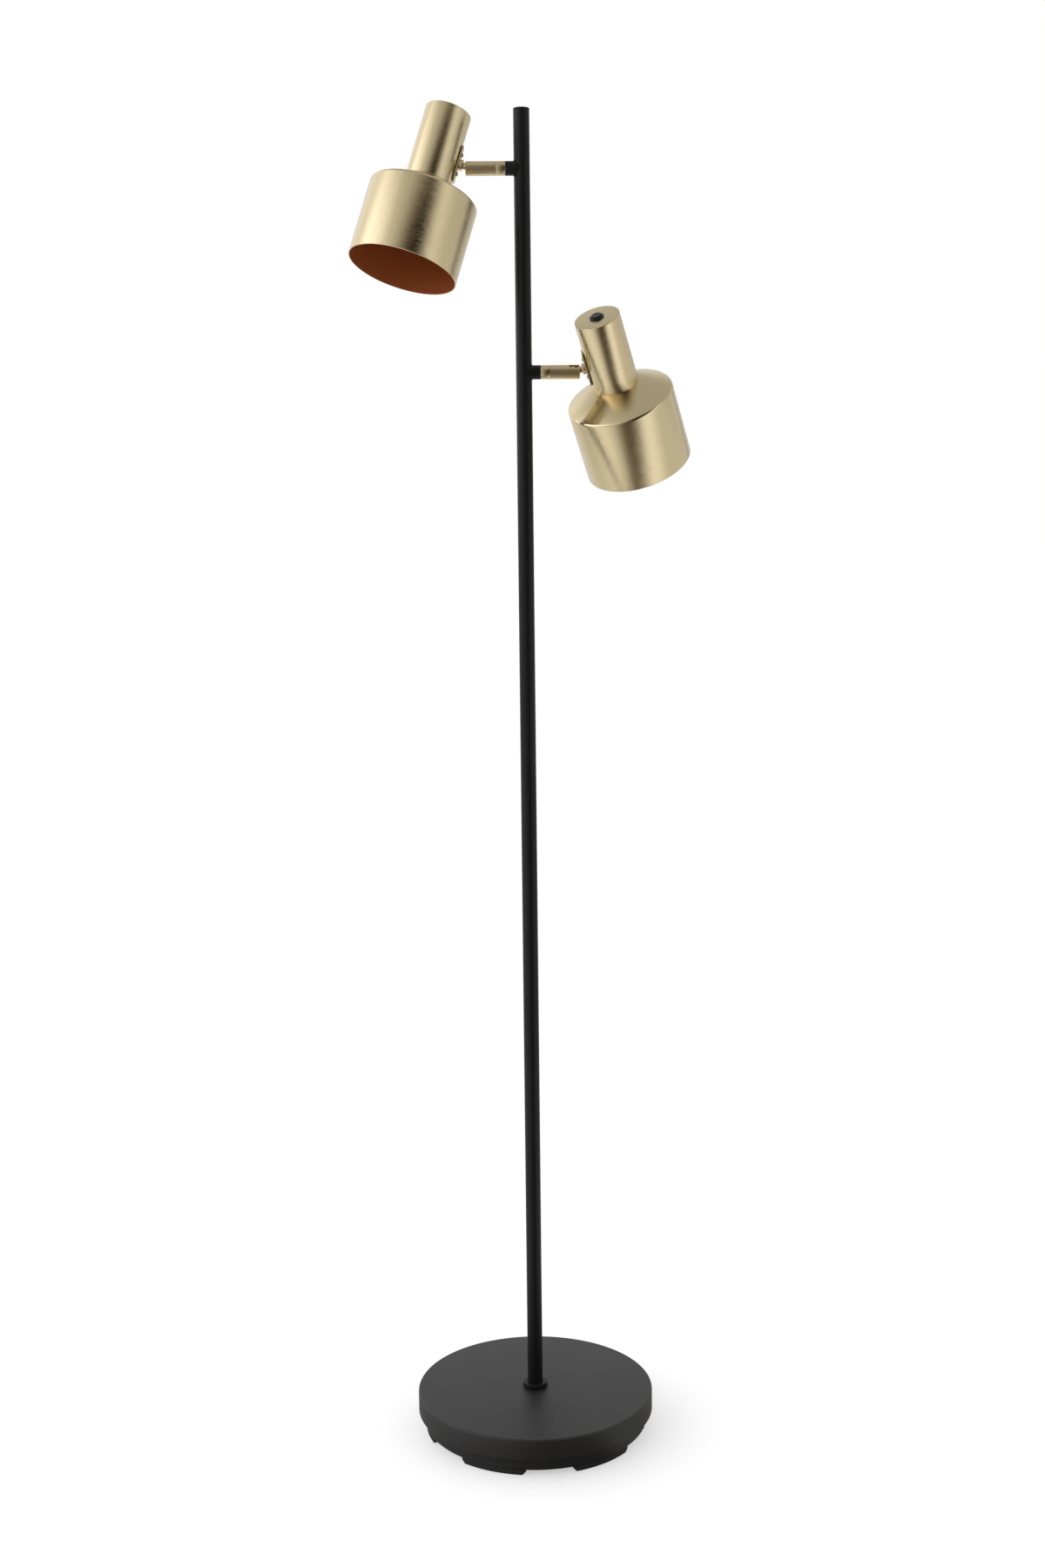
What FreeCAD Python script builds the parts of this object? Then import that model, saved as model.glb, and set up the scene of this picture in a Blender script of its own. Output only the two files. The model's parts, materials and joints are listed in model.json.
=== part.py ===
"""Free-standing floor lamp with two swivelling spots on one slim pole.

Frame: origin on the floor under the pole's axis, +Z up, the viewer's side at -Y.
The upper spot stands out along -X and the lower one along +X. Lengths are in
millimetres and angles in degrees. Threads are left out: a screwed pair shares one radius.
"""
import FreeCAD
import Part

import math
import os

from FreeCAD import Placement, Rotation, Vector

# ---------------------------------------------------------------- driving dimensions
# Base
BASE_DIA = 250.0            # spun steel cover, outside
BASE_HEIGHT = 42.0          # floor to the cover's flat top
COVER_SKIRT = 22.0          # depth of the cover's side wall
COVER_WALL = 1.2
COVER_EDGE = 2.0            # rounded edge between the top and the side
TRAY_INSET = 5.3            # air between the cover's skirt and the moulded tray
TRAY_WALL = 3.0
TRAY_FLOOR = 3.0
TRAY_BOSS_DIA = 52.0        # middle post of the tray, which holds the cover up
TRAY_BOSS_CEILING = 5.0     # thickness of that post's top
RECESS_DIA = 44.0           # pocket under the post, for the nut and the cord
WEIGHT_THICKNESS = 13.0
WEIGHT_CLEARANCE = 0.5      # between the weight and the tray's walls
FOOT_COUNT = 6
FOOT_HEIGHT = 6.0
FOOT_WIDTH = 30.0           # along the radius
FOOT_SPAN = 36.0            # degrees of the circle that one pad covers
FOOT_END_SLOPE = 4.0        # chamfer at each end of a pad
FOOT_FIRST_ANGLE = -25.0    # first pad's middle, from the front towards +X

# Cord inlet at the back of the base; the cord itself is not part of the model
CORD_BORE_DIA = 7.0
GLAND_BODY_DIA = 10.0
GLAND_FLANGE_DIA = 13.0
GLAND_FLANGE = 2.0
CORD_WAY_WIDTH = 12.0       # channel through the weight
CORD_RISE = 1.5             # cord above the tray's floor

# Rod, nut and washer that draw the pole down on the base
ROD_DIA = 10.0
ROD_BORE_DIA = 6.0
ROD_GRIP = 24.0             # length of the rod inside the pole
NUT_FLATS = 17.0
NUT_HEIGHT = 7.0
ROD_PROUD = 2.0             # rod below the nut
WASHER_DIA = 30.0
WASHER_THICKNESS = 2.0

# Pole
POLE_DIA = 16.0
POLE_WALL = 1.0
POLE_HEIGHT = 1320.0        # cover's top to the cap's top
LOWER_TUBE = 660.0          # length of the lower tube; the seam is here
FOOT_PLUG = 20.0            # threaded plug in the lower tube's foot
SEAM_PLUG = 44.0            # plug that joins the two tubes
SEAM_PLUG_BORE_DIA = 8.0
CAP_FLANGE = 1.6
CAP_SPIGOT = 9.0
CAP_EDGE = 0.5
FOOT_COLLAR_DIA = 26.0
FOOT_COLLAR_HEIGHT = 5.2
FOOT_COLLAR_EDGE = 1.0
COLLAR_CLEARANCE = 0.15     # foot collar on the pole

# Arms
UPPER_ARM_DROP = 57.0       # pole's top to the upper arm's axis
ARM_SPACING = 197.0         # upper arm's axis to the lower arm's axis
ARM_DIA = 14.0
BOSS_LENGTH = 8.4           # black boss, beyond the pole
BOSS_FLARE = 0.8            # weld fillet at the boss's foot
FIXED_COLLAR = 9.5          # brass collar that doesn't turn
SPLIT_GAP = 0.2             # running gap between the collar and the sleeve
SLEEVE_LENGTH = 29.5        # slotted brass sleeve that turns
SLEEVE_BEVEL = 0.8
NIPPLE_DIA = 10.0
NIPPLE_BORE_DIA = 4.5
NIPPLE_INSIDE_POLE = 2.0    # nipple beyond the pole's inner wall
SPINDLE_DIA = 7.0           # thinner end of the nipple, on which the sleeve turns
SPINDLE_HEAD_DIA = 9.6      # riveted head that keeps the sleeve on
SPINDLE_HEAD = 1.5
BEARING_LENGTH = 5.0
RUNNING_CLEARANCE = 0.05    # radial, at the spindle and round the ball
HEAD_CHAMBER = 3.0          # room for the riveted head
STOP_WIDTH = 0.8            # lug on the sleeve, across its arc
STOP_HEIGHT = 1.0
STOP_SPAN = 10.0            # degrees of the circle that the lug covers
STOP_CLEARANCE = 0.2
STOP_PLAY = 1.0             # degrees left between the lug and the groove's end at the limit
SWIVEL_LIMIT = 165.0        # each way from rest

# Ball knuckle
BALL_DIA = 11.2
BALL_DEPTH = 7.2            # ball's centre behind the sleeve's end
SLOT_WIDTH = 7.0
MOUTH_SHARE = 0.45          # how far the seat closes over the ball, as a part of its radius
STEM_DIA = 6.5
WIRE_BORE_DIA = 4.0
CUP_LENGTH = 4.5            # seat ring behind the ball
CUP_GRIP = 2.8              # ball's centre to the seat ring's front
CUP_BORE_DIA = 6.0
SPRING_DISCS = 3
SPRING_DISC = 0.6           # thickness of one disc
TILT_UPPER = 16.6           # stem above the arm's axis, as photographed
TILT_LOWER = 16.9
SWIVEL_UPPER = 13.8         # slot turned from straight up, as photographed
SWIVEL_LOWER = 30.5

# Bracket between the stem and the lamp head
STEM_REACH = 38.4           # ball's centre to the neck's axis
HUB_FLATS = 9.5
HUB_START = 10.0            # ball's centre to the hub nut
PLATE_LENGTH = 37.0
PLATE_WIDTH = 12.0
PLATE_THICKNESS = 1.5
PLATE_CORNER = 2.5
PLATE_SEAT = 0.05           # air between the flat plate and the round neck
SCREW_SPACING = 20.0
SCREW_DIA = 2.5
SCREW_HEAD_DIA = 4.2
SCREW_HEAD = 1.6
SCREW_LENGTH = 6.0
BACKING_LENGTH = 27.0
BACKING_THICKNESS = 1.5
STEM_NUT_FLATS = 9.0
STEM_NUT_HEIGHT = 3.0
STEM_END = 0.8              # stem beyond its inner nut
NUT_CORNER_CUT = 0.7        # how much of a nut's corner its chamfer takes, as a part of it

# Lamp head
NECK_DIA = 46.0
NECK_LENGTH = 74.3
NECK_ABOVE_STEM = 48.8      # stem's axis to the neck's flat top
HEAD_WALL = 1.0
NECK_TOP = 1.2
NECK_EDGE = 0.6
CONE_LENGTH = 15.4
SHADE_DIA = 109.0
SHADE_LENGTH = 77.6         # straight side of the shade
SHADE_EDGE = 3.0            # rounded edge between the cone and the side
SPIGOT_LENGTH = 5.0         # shade's collar inside the neck
SPIGOT_CLEARANCE = 0.05

# Lampholder for a 27 mm screw cap
HOLDER_DIA = 39.0
HOLDER_BELOW = 14.5         # skirt below the joint of the neck and the shade
HOLDER_ABOVE = 11.0         # skirt above that joint
HOLDER_SHOULDER = 2.4
DOME_DIA = 29.0
DOME_LENGTH = 24.0
DOME_EDGE = 2.0
SOCKET_DIA = 26.6           # inside the metal screw shell
SOCKET_DEPTH = 22.0
SHELL_WALL = 0.4
CAVITY_EXTRA = 2.5          # cavity beyond the shell, for the contact
CONTACT_WIDTH = 5.0
CONTACT_LENGTH = 16.0
CONTACT_THICKNESS = 0.5
CONTACT_RISE = 1.5
RING_LIP = 2.0              # clamping ring, beyond the flat flange that it presses on
RING_HEIGHT = 6.0
SHADE_HOLE_CLEARANCE = 0.25

# Push switch in the neck's top
SWITCH_BODY_DIA = 20.0
SWITCH_BODY_LENGTH = 20.0
SWITCH_BUSH_DIA = 12.0
SWITCH_BEZEL_DIA = 14.6
SWITCH_BEZEL = 1.3
BUTTON_DIA = 9.6
BUTTON_PROUD = 1.8          # above the bezel
BUTTON_TRAVEL = 1.5
BUTTON_EDGE = 0.5
BUTTON_STEM_DIA = 5.0
BUTTON_CLEARANCE = 0.15

OVERCUT = 1.0               # how far a cutting shape runs past the face that it opens

# ---------------------------------------------------------------- sizes that follow
POLE_R = POLE_DIA / 2
POLE_BORE_R = POLE_R - POLE_WALL
ARM_R = ARM_DIA / 2
COVER_UNDERSIDE = BASE_HEIGHT - COVER_WALL
TRAY_R = BASE_DIA / 2 - COVER_WALL - TRAY_INSET
TRAY_TOP = COVER_UNDERSIDE
TRAY_SEAT = FOOT_HEIGHT + TRAY_FLOOR
RECESS_TOP = TRAY_TOP - TRAY_BOSS_CEILING
CORD_Z = TRAY_SEAT + CORD_BORE_DIA / 2 + CORD_RISE
POLE_TOP = BASE_HEIGHT + POLE_HEIGHT
SEAM_Z = BASE_HEIGHT + LOWER_TUBE
UPPER_ARM_Z = POLE_TOP - UPPER_ARM_DROP
LOWER_ARM_Z = UPPER_ARM_Z - ARM_SPACING

BOSS_END = POLE_R + BOSS_LENGTH                 # distances out from the pole's axis
COLLAR_END = BOSS_END + FIXED_COLLAR
SLEEVE_START = COLLAR_END + SPLIT_GAP
SLEEVE_END = SLEEVE_START + SLEEVE_LENGTH
BEARING_END = SLEEVE_START + BEARING_LENGTH
SPINDLE_HEAD_START = BEARING_END + SPLIT_GAP
SPRING_SEAT = BEARING_END + HEAD_CHAMBER
PIVOT = SLEEVE_END - BALL_DEPTH
BALL_R = BALL_DIA / 2
SEAT_R = BALL_R + RUNNING_CLEARANCE
CHAMBER_R = SEAT_R + RUNNING_CLEARANCE
CUP_START = PIVOT - CUP_GRIP - CUP_LENGTH

NECK_R = NECK_DIA / 2                           # distances from the ball, in a head
SHADE_R = SHADE_DIA / 2
NECK_FACE = STEM_REACH - NECK_R
PLATE_INNER = NECK_FACE - PLATE_SEAT
PLATE_OUTER = PLATE_INNER - PLATE_THICKNESS
NECK_BORE_R = NECK_R - HEAD_WALL
BACKING_OUTER = STEM_REACH - math.sqrt(NECK_BORE_R ** 2 - (PLATE_WIDTH / 2) ** 2)
BACKING_INNER = BACKING_OUTER + BACKING_THICKNESS
NECK_TOP_Z = NECK_ABOVE_STEM
JOINT_Z = NECK_TOP_Z - NECK_LENGTH              # where the neck meets the shade
SHADE_EDGE_Z = JOINT_Z - CONE_LENGTH
RIM_Z = SHADE_EDGE_Z - SHADE_LENGTH
HOLDER_MOUTH_Z = JOINT_Z - HOLDER_BELOW
SKIRT_TOP_Z = JOINT_Z + HOLDER_ABOVE
SHELL_TOP_Z = HOLDER_MOUTH_Z + SOCKET_DEPTH
CAVITY_TOP_Z = SHELL_TOP_Z + CAVITY_EXTRA
HOLDER_R = HOLDER_DIA / 2

X_AXIS = Vector(1, 0, 0)
Y_AXIS = Vector(0, 1, 0)
Z_AXIS = Vector(0, 0, 1)


# ---------------------------------------------------------------- drawing helpers
def rounded(x, z, radius):
    """Corner of an outline that an arc of this radius rounds."""
    return x, z, "round", radius


def bevelled(x, z, size):
    """Corner of an outline that a flat cuts off, this far along both sides."""
    return x, z, "bevel", size


def corner(before, point, after, kind, size):
    """Points at which one treated corner starts and ends, with an arc's middle between them."""
    to_before = (before - point).normalize()
    to_after = (after - point).normalize()
    if kind == "bevel":
        return point + to_before * size, point + to_after * size
    half = to_before.getAngle(to_after) / 2
    reach = size / math.tan(half)
    bisector = (to_before + to_after).normalize()
    middle = point + bisector * (size / math.sin(half) - size)
    return point + to_before * reach, middle, point + to_after * reach


def outline(points):
    """Face in the XZ plane from (x, z) points, some of them rounded or bevelled."""
    places = [Vector(p[0], 0, p[1]) for p in points]
    count = len(points)
    stretches = []
    for i, point in enumerate(points):
        if len(point) > 2:
            stretches.append(corner(places[i - 1], places[i], places[(i + 1) % count], *point[2:]))
        else:
            stretches.append((places[i],))
    edges = []
    for i, stretch in enumerate(stretches):
        if len(stretch) == 3:
            edges.append(Part.Arc(*stretch).toShape())
        if len(stretch) == 2:
            edges.append(Part.LineSegment(*stretch).toShape())
        start = stretch[-1]
        end = stretches[(i + 1) % count][0]
        if (end - start).Length > 1e-6:
            edges.append(Part.LineSegment(start, end).toShape())
    return Part.Face(Part.Wire(edges))


def turned(points, sweep=360.0):
    """Solid turned about Z from (radius, z) points."""
    return outline(points).revolve(Vector(0, 0, 0), Z_AXIS, sweep)


def turned_on_x(points):
    """Solid turned about X from (distance along X, radius) points."""
    solid = turned([(p[1], p[0], *p[2:]) for p in points])
    solid.rotate(Vector(0, 0, 0), Y_AXIS, 90)
    return solid


def rod_z(radius, low, high):
    """Plain cylinder along Z."""
    return Part.makeCylinder(radius, high - low, Vector(0, 0, low), Z_AXIS)


def bored(radius, bore, low, high):
    """Cylinder along Z with a round hole right through it."""
    return rod_z(radius, low, high).cut(rod_z(bore, low - OVERCUT, high + OVERCUT))


def rod_x(radius, start, end, z=0.0):
    """Plain cylinder along X, at a height."""
    return Part.makeCylinder(radius, end - start, Vector(start, 0, z), X_AXIS)


def block(low, high):
    """Box between two corners."""
    size = [high[i] - low[i] for i in range(3)]
    return Part.makeBox(*size, Vector(*low))


def hex_x(flats, start, end):
    """Hexagonal bar along X, one pair of its flats facing up and down."""
    reach = flats / math.sqrt(3)
    angles = [math.radians(60 * k) for k in range(7)]
    ring = [Vector(start, reach * math.cos(a), reach * math.sin(a)) for a in angles]
    return Part.Face(Part.makePolygon(ring)).extrude(Vector(end - start, 0, 0))


def hex_z(flats, low, high):
    """Hexagonal bar along Z."""
    bar = hex_x(flats, 0, high - low)
    bar.rotate(Vector(0, 0, 0), Y_AXIS, -90)
    bar.translate(Vector(0, 0, low))
    return bar


# ---------------------------------------------------------------- base
def base_cover():
    radius = BASE_DIA / 2
    inner = radius - COVER_WALL
    hem = BASE_HEIGHT - COVER_SKIRT
    return turned([
        (ROD_DIA / 2, BASE_HEIGHT),
        rounded(radius, BASE_HEIGHT, COVER_EDGE),
        (radius, hem),
        (inner, hem),
        bevelled(inner, COVER_UNDERSIDE, COVER_EDGE - COVER_WALL),
        (ROD_DIA / 2, COVER_UNDERSIDE),
    ])


def cord_hole(radius, reach):
    """Round hole for the cord, from the middle out to the back."""
    return Part.makeCylinder(radius, reach, Vector(0, 0, CORD_Z), Y_AXIS)


def base_tray():
    inner = TRAY_R - TRAY_WALL
    pan = turned([
        (RECESS_DIA / 2, FOOT_HEIGHT),
        bevelled(TRAY_R, FOOT_HEIGHT, TRAY_FLOOR / 2),
        (TRAY_R, TRAY_TOP),
        (inner, TRAY_TOP),
        (inner, TRAY_SEAT),
        (TRAY_BOSS_DIA / 2, TRAY_SEAT),
        (TRAY_BOSS_DIA / 2, TRAY_TOP),
        (ROD_DIA / 2, TRAY_TOP),
        (ROD_DIA / 2, RECESS_TOP),
        (RECESS_DIA / 2, RECESS_TOP),
    ])
    return pan.cut(cord_hole(GLAND_BODY_DIA / 2, TRAY_R + OVERCUT))


def base_weight():
    outer = TRAY_R - TRAY_WALL - WEIGHT_CLEARANCE
    inner = TRAY_BOSS_DIA / 2 + WEIGHT_CLEARANCE
    top = TRAY_SEAT + WEIGHT_THICKNESS
    disc = turned([(inner, TRAY_SEAT), (outer, TRAY_SEAT), (outer, top), (inner, top)])
    half = CORD_WAY_WIDTH / 2
    channel = block((-half, 0, TRAY_SEAT - OVERCUT), (half, outer + OVERCUT, top + OVERCUT))
    return disc.cut(channel)


def foot_pads():
    outer = TRAY_R - TRAY_FLOOR / 2
    inner = outer - FOOT_WIDTH
    pads = []
    for k in range(FOOT_COUNT):
        pad = turned([(inner, 0), (outer, 0), (outer, FOOT_HEIGHT), (inner, FOOT_HEIGHT)], FOOT_SPAN)
        ends = [e for e in pad.Edges if is_foot_end(e)]
        pad = pad.makeChamfer(FOOT_END_SLOPE, ends)
        middle = FOOT_FIRST_ANGLE + 360.0 * k / FOOT_COUNT - 90
        pad.rotate(Vector(0, 0, 0), Z_AXIS, middle - FOOT_SPAN / 2)
        pads.append(pad)
    return Part.makeCompound(pads)


def is_foot_end(edge):
    """True for a pad's two straight edges on the floor, which run along the radius."""
    box = edge.BoundBox
    return isinstance(edge.Curve, Part.Line) and box.ZMax < FOOT_HEIGHT / 2


def cord_gland():
    inside = TRAY_R - TRAY_WALL
    bush = turned([
        (CORD_BORE_DIA / 2, inside),
        (GLAND_BODY_DIA / 2, inside),
        (GLAND_BODY_DIA / 2, TRAY_R),
        (GLAND_FLANGE_DIA / 2, TRAY_R),
        bevelled(GLAND_FLANGE_DIA / 2, TRAY_R + GLAND_FLANGE, GLAND_FLANGE / 2),
        (CORD_BORE_DIA / 2, TRAY_R + GLAND_FLANGE),
    ])
    bush.rotate(Vector(0, 0, 0), X_AXIS, -90)
    bush.translate(Vector(0, 0, CORD_Z))
    return bush


def base_rod():
    low = RECESS_TOP - WASHER_THICKNESS - NUT_HEIGHT - ROD_PROUD
    return bored(ROD_DIA / 2, ROD_BORE_DIA / 2, low, BASE_HEIGHT + ROD_GRIP)


def base_washer():
    return bored(WASHER_DIA / 2, ROD_DIA / 2, RECESS_TOP - WASHER_THICKNESS, RECESS_TOP)


def base_nut():
    top = RECESS_TOP - WASHER_THICKNESS
    low = top - NUT_HEIGHT
    return hex_z(NUT_FLATS, low, top).cut(rod_z(ROD_DIA / 2, low - OVERCUT, top + OVERCUT))


# ---------------------------------------------------------------- pole
def tube(low, high):
    return bored(POLE_R, POLE_BORE_R, low, high)


def pole_lower():
    return tube(BASE_HEIGHT, SEAM_Z)


def pole_upper():
    body = tube(SEAM_Z, POLE_TOP - CAP_FLANGE)
    for side, height in ((-1, UPPER_ARM_Z), (1, LOWER_ARM_Z)):
        hole = rod_x(NIPPLE_DIA / 2, 0, POLE_DIA, z=height)
        hole.rotate(Vector(0, 0, height), Z_AXIS, 90 - 90 * side)
        body = body.cut(hole)
    return body


def pole_foot_plug():
    return bored(POLE_BORE_R, ROD_DIA / 2, BASE_HEIGHT, BASE_HEIGHT + FOOT_PLUG)


def pole_seam_plug():
    low = SEAM_Z - SEAM_PLUG / 2
    return bored(POLE_BORE_R, SEAM_PLUG_BORE_DIA / 2, low, low + SEAM_PLUG)


def pole_cap():
    flange_low = POLE_TOP - CAP_FLANGE
    return turned([
        (0, flange_low - CAP_SPIGOT),
        (POLE_BORE_R, flange_low - CAP_SPIGOT),
        (POLE_BORE_R, flange_low),
        (POLE_R, flange_low),
        bevelled(POLE_R, POLE_TOP, CAP_EDGE),
        (0, POLE_TOP),
    ])


def pole_collar():
    inner = POLE_R + COLLAR_CLEARANCE
    outer = FOOT_COLLAR_DIA / 2
    top = BASE_HEIGHT + FOOT_COLLAR_HEIGHT
    return turned([
        (inner, BASE_HEIGHT),
        (outer, BASE_HEIGHT),
        bevelled(outer, top, FOOT_COLLAR_EDGE),
        (inner, top),
    ])


# ---------------------------------------------------------------- arm, along +X from the pole
def arm_boss():
    boss = turned_on_x([
        (0, 0),
        (0, ARM_R + BOSS_FLARE),
        (POLE_R, ARM_R + BOSS_FLARE),
        (POLE_R + BOSS_FLARE, ARM_R),
        (BOSS_END, ARM_R),
        (BOSS_END, 0),
    ])
    hole = rod_x(NIPPLE_DIA / 2, -OVERCUT, BOSS_END + OVERCUT)
    return boss.cut(rod_z(POLE_R, -POLE_DIA, POLE_DIA)).cut(hole)


def stop_ring(inner, outer, start, end, first, span):
    """Part of a flat ring on the arm's axis, its angles counted from straight up."""
    ring = turned([(inner, start), (outer, start), (outer, end), (inner, end)], span)
    ring.rotate(Vector(0, 0, 0), Y_AXIS, 90)
    ring.rotate(Vector(0, 0, 0), X_AXIS, 180 + first)
    return ring


def arm_collar():
    """Fixed collar, with the groove in its outer face that the sleeve's lug runs in."""
    collar = turned_on_x([
        (BOSS_END, NIPPLE_DIA / 2),
        (BOSS_END, ARM_R),
        (COLLAR_END, ARM_R),
        (COLLAR_END, NIPPLE_DIA / 2),
    ])
    middle = (NIPPLE_DIA / 2 + ARM_R) / 2
    half = STOP_WIDTH / 2 + STOP_CLEARANCE
    inner = middle - half
    outer = middle + half
    start = COLLAR_END - STOP_HEIGHT - STOP_CLEARANCE
    reach = SWIVEL_LIMIT + STOP_SPAN / 2 + STOP_PLAY
    return collar.cut(stop_ring(inner, outer, start, COLLAR_END + OVERCUT, -reach, 2 * reach))


def swivel_nipple():
    """Hollow screw that holds boss and collar, and ends in the sleeve's spindle."""
    head_end = SPINDLE_HEAD_START + SPINDLE_HEAD
    bore = NIPPLE_BORE_DIA / 2
    return turned_on_x([
        (POLE_BORE_R - NIPPLE_INSIDE_POLE, bore),
        (POLE_BORE_R - NIPPLE_INSIDE_POLE, NIPPLE_DIA / 2),
        (COLLAR_END, NIPPLE_DIA / 2),
        (COLLAR_END, SPINDLE_DIA / 2),
        (SPINDLE_HEAD_START, SPINDLE_DIA / 2),
        (SPINDLE_HEAD_START, SPINDLE_HEAD_DIA / 2),
        (head_end, SPINDLE_HEAD_DIA / 2),
        (head_end, bore),
    ])


def arm_sleeve():
    """Turning sleeve: a bearing at one end, and the slotted ball seat at the other."""
    close = MOUTH_SHARE * SEAT_R
    mouth_r = math.sqrt(SEAT_R ** 2 - close ** 2)
    sleeve = turned_on_x([
        (SLEEVE_START, SPINDLE_DIA / 2 + RUNNING_CLEARANCE),
        (SLEEVE_START, ARM_R),
        (SLEEVE_END - SLEEVE_BEVEL, ARM_R),
        (SLEEVE_END, ARM_R - SLEEVE_BEVEL),
        (SLEEVE_END, mouth_r),
        (PIVOT, mouth_r),
        (PIVOT, CHAMBER_R),
        (SPRING_SEAT, CHAMBER_R),
        (SPRING_SEAT, SPINDLE_HEAD_DIA / 2 + 2 * SPLIT_GAP),
        (BEARING_END, SPINDLE_HEAD_DIA / 2 + 2 * SPLIT_GAP),
        (BEARING_END, SPINDLE_DIA / 2 + RUNNING_CLEARANCE),
    ])
    sleeve = sleeve.cut(Part.makeSphere(SEAT_R, Vector(PIVOT, 0, 0), X_AXIS, -90, 90, 360))
    slot = block((PIVOT, -SLOT_WIDTH / 2, 0), (SLEEVE_END + OVERCUT, SLOT_WIDTH / 2, ARM_DIA))
    slot_end = Part.makeCylinder(SLOT_WIDTH / 2, ARM_DIA, Vector(PIVOT, 0, 0), Z_AXIS)
    sleeve = sleeve.cut(slot.fuse(slot_end))
    middle = (NIPPLE_DIA / 2 + ARM_R) / 2
    lug = stop_ring(middle - STOP_WIDTH / 2, middle + STOP_WIDTH / 2, SLEEVE_START - STOP_HEIGHT,
                    SLEEVE_START, -STOP_SPAN / 2, STOP_SPAN)
    return sleeve.fuse(lug).removeSplitter()


def disc_springs():
    """Cone discs, turned alternate ways, that press the seat ring on the ball."""
    outer = CHAMBER_R - 2 * RUNNING_CLEARANCE
    inner = CUP_BORE_DIA / 2
    pitch = (CUP_START - SPRING_SEAT) / SPRING_DISCS
    discs = []
    for k in range(SPRING_DISCS):
        start = SPRING_SEAT + k * pitch
        rise = pitch - SPRING_DISC
        near, far = (0.0, rise) if k % 2 == 0 else (rise, 0.0)
        discs.append(turned_on_x([
            (start + far, inner),
            (start + near, outer),
            (start + near + SPRING_DISC, outer),
            (start + far + SPRING_DISC, inner),
        ]))
    return Part.makeCompound(discs)


def ball_cup():
    end = CUP_START + CUP_LENGTH
    outer = CHAMBER_R - RUNNING_CLEARANCE
    ring = turned_on_x([
        (CUP_START, CUP_BORE_DIA / 2),
        (CUP_START, outer),
        (end, outer),
        (end, CUP_BORE_DIA / 2),
    ])
    return ring.cut(Part.makeSphere(SEAT_R, Vector(PIVOT, 0, 0), X_AXIS, -90, 90, 360))


# ---------------------------------------------------------------- head, from the ball's centre
def knuckle():
    """Ball and stem in one piece, bored for the wires."""
    stem_end = BACKING_INNER + STEM_NUT_HEIGHT + STEM_END
    ball = Part.makeSphere(BALL_R, Vector(0, 0, 0), X_AXIS, -90, 90, 360)
    flat = math.sqrt(BALL_R ** 2 - (CUP_BORE_DIA / 2) ** 2)
    ball = ball.cut(block((-BALL_DIA, -BALL_DIA, -BALL_DIA), (-flat, BALL_DIA, BALL_DIA)))
    whole = ball.fuse(rod_x(STEM_DIA / 2, 0, stem_end))
    return whole.cut(rod_x(WIRE_BORE_DIA / 2, -BALL_DIA, stem_end + OVERCUT)).removeSplitter()


def nut_on_stem(flats, start, end):
    reach = flats / math.sqrt(3)
    chamfer = (reach - flats / 2) * NUT_CORNER_CUT
    turned_blank = turned_on_x([
        (start, 0),
        (start, reach - chamfer),
        (start + chamfer / 2, reach),
        (end, reach),
        (end, 0),
    ])
    hole = rod_x(STEM_DIA / 2, start - OVERCUT, end + OVERCUT)
    return hex_x(flats, start, end).common(turned_blank).cut(hole)


def hub_nut():
    return nut_on_stem(HUB_FLATS, HUB_START, PLATE_OUTER)


def stem_nut():
    nut = nut_on_stem(STEM_NUT_FLATS, -STEM_NUT_HEIGHT, 0)
    nut.translate(Vector(BACKING_INNER + STEM_NUT_HEIGHT, 0, 0))
    return nut


def screw_places():
    return [-SCREW_SPACING / 2, SCREW_SPACING / 2]


def drilled(plate):
    """Plate with the holes for the stem and the two screws."""
    plate = plate.cut(rod_x(STEM_DIA / 2, 0, STEM_REACH))
    for height in screw_places():
        plate = plate.cut(rod_x(SCREW_DIA / 2, 0, STEM_REACH, z=height))
    return plate


def bracket_plate():
    half = PLATE_WIDTH / 2
    plate = block((PLATE_OUTER, -half, -PLATE_LENGTH / 2), (PLATE_INNER, half, PLATE_LENGTH / 2))
    corners = [e for e in plate.Edges if e.BoundBox.XLength > PLATE_THICKNESS / 2]
    return drilled(plate.makeFillet(PLATE_CORNER, corners))


def backing_plate():
    half = PLATE_WIDTH / 2
    low = (BACKING_OUTER, -half, -BACKING_LENGTH / 2)
    high = (BACKING_INNER, half, BACKING_LENGTH / 2)
    return drilled(block(low, high))


def plate_screws():
    screws = []
    for height in screw_places():
        screw = turned_on_x([
            (PLATE_OUTER - SCREW_HEAD, 0),
            bevelled(PLATE_OUTER - SCREW_HEAD, SCREW_HEAD_DIA / 2, SCREW_HEAD / 2),
            (PLATE_OUTER, SCREW_HEAD_DIA / 2),
            (PLATE_OUTER, SCREW_DIA / 2),
            (PLATE_OUTER + SCREW_LENGTH, SCREW_DIA / 2),
            (PLATE_OUTER + SCREW_LENGTH, 0),
        ])
        screw.translate(Vector(0, 0, height))
        screws.append(screw)
    return Part.makeCompound(screws)


def on_neck_axis(solid):
    solid.translate(Vector(STEM_REACH, 0, 0))
    return solid


def neck_housing():
    inner_top = NECK_TOP_Z - NECK_TOP
    cup = turned([
        (SWITCH_BUSH_DIA / 2, NECK_TOP_Z),
        bevelled(NECK_R, NECK_TOP_Z, NECK_EDGE),
        (NECK_R, JOINT_Z),
        (NECK_BORE_R, JOINT_Z),
        (NECK_BORE_R, inner_top),
        (SWITCH_BUSH_DIA / 2, inner_top),
    ])
    return drilled(on_neck_axis(cup))


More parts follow.
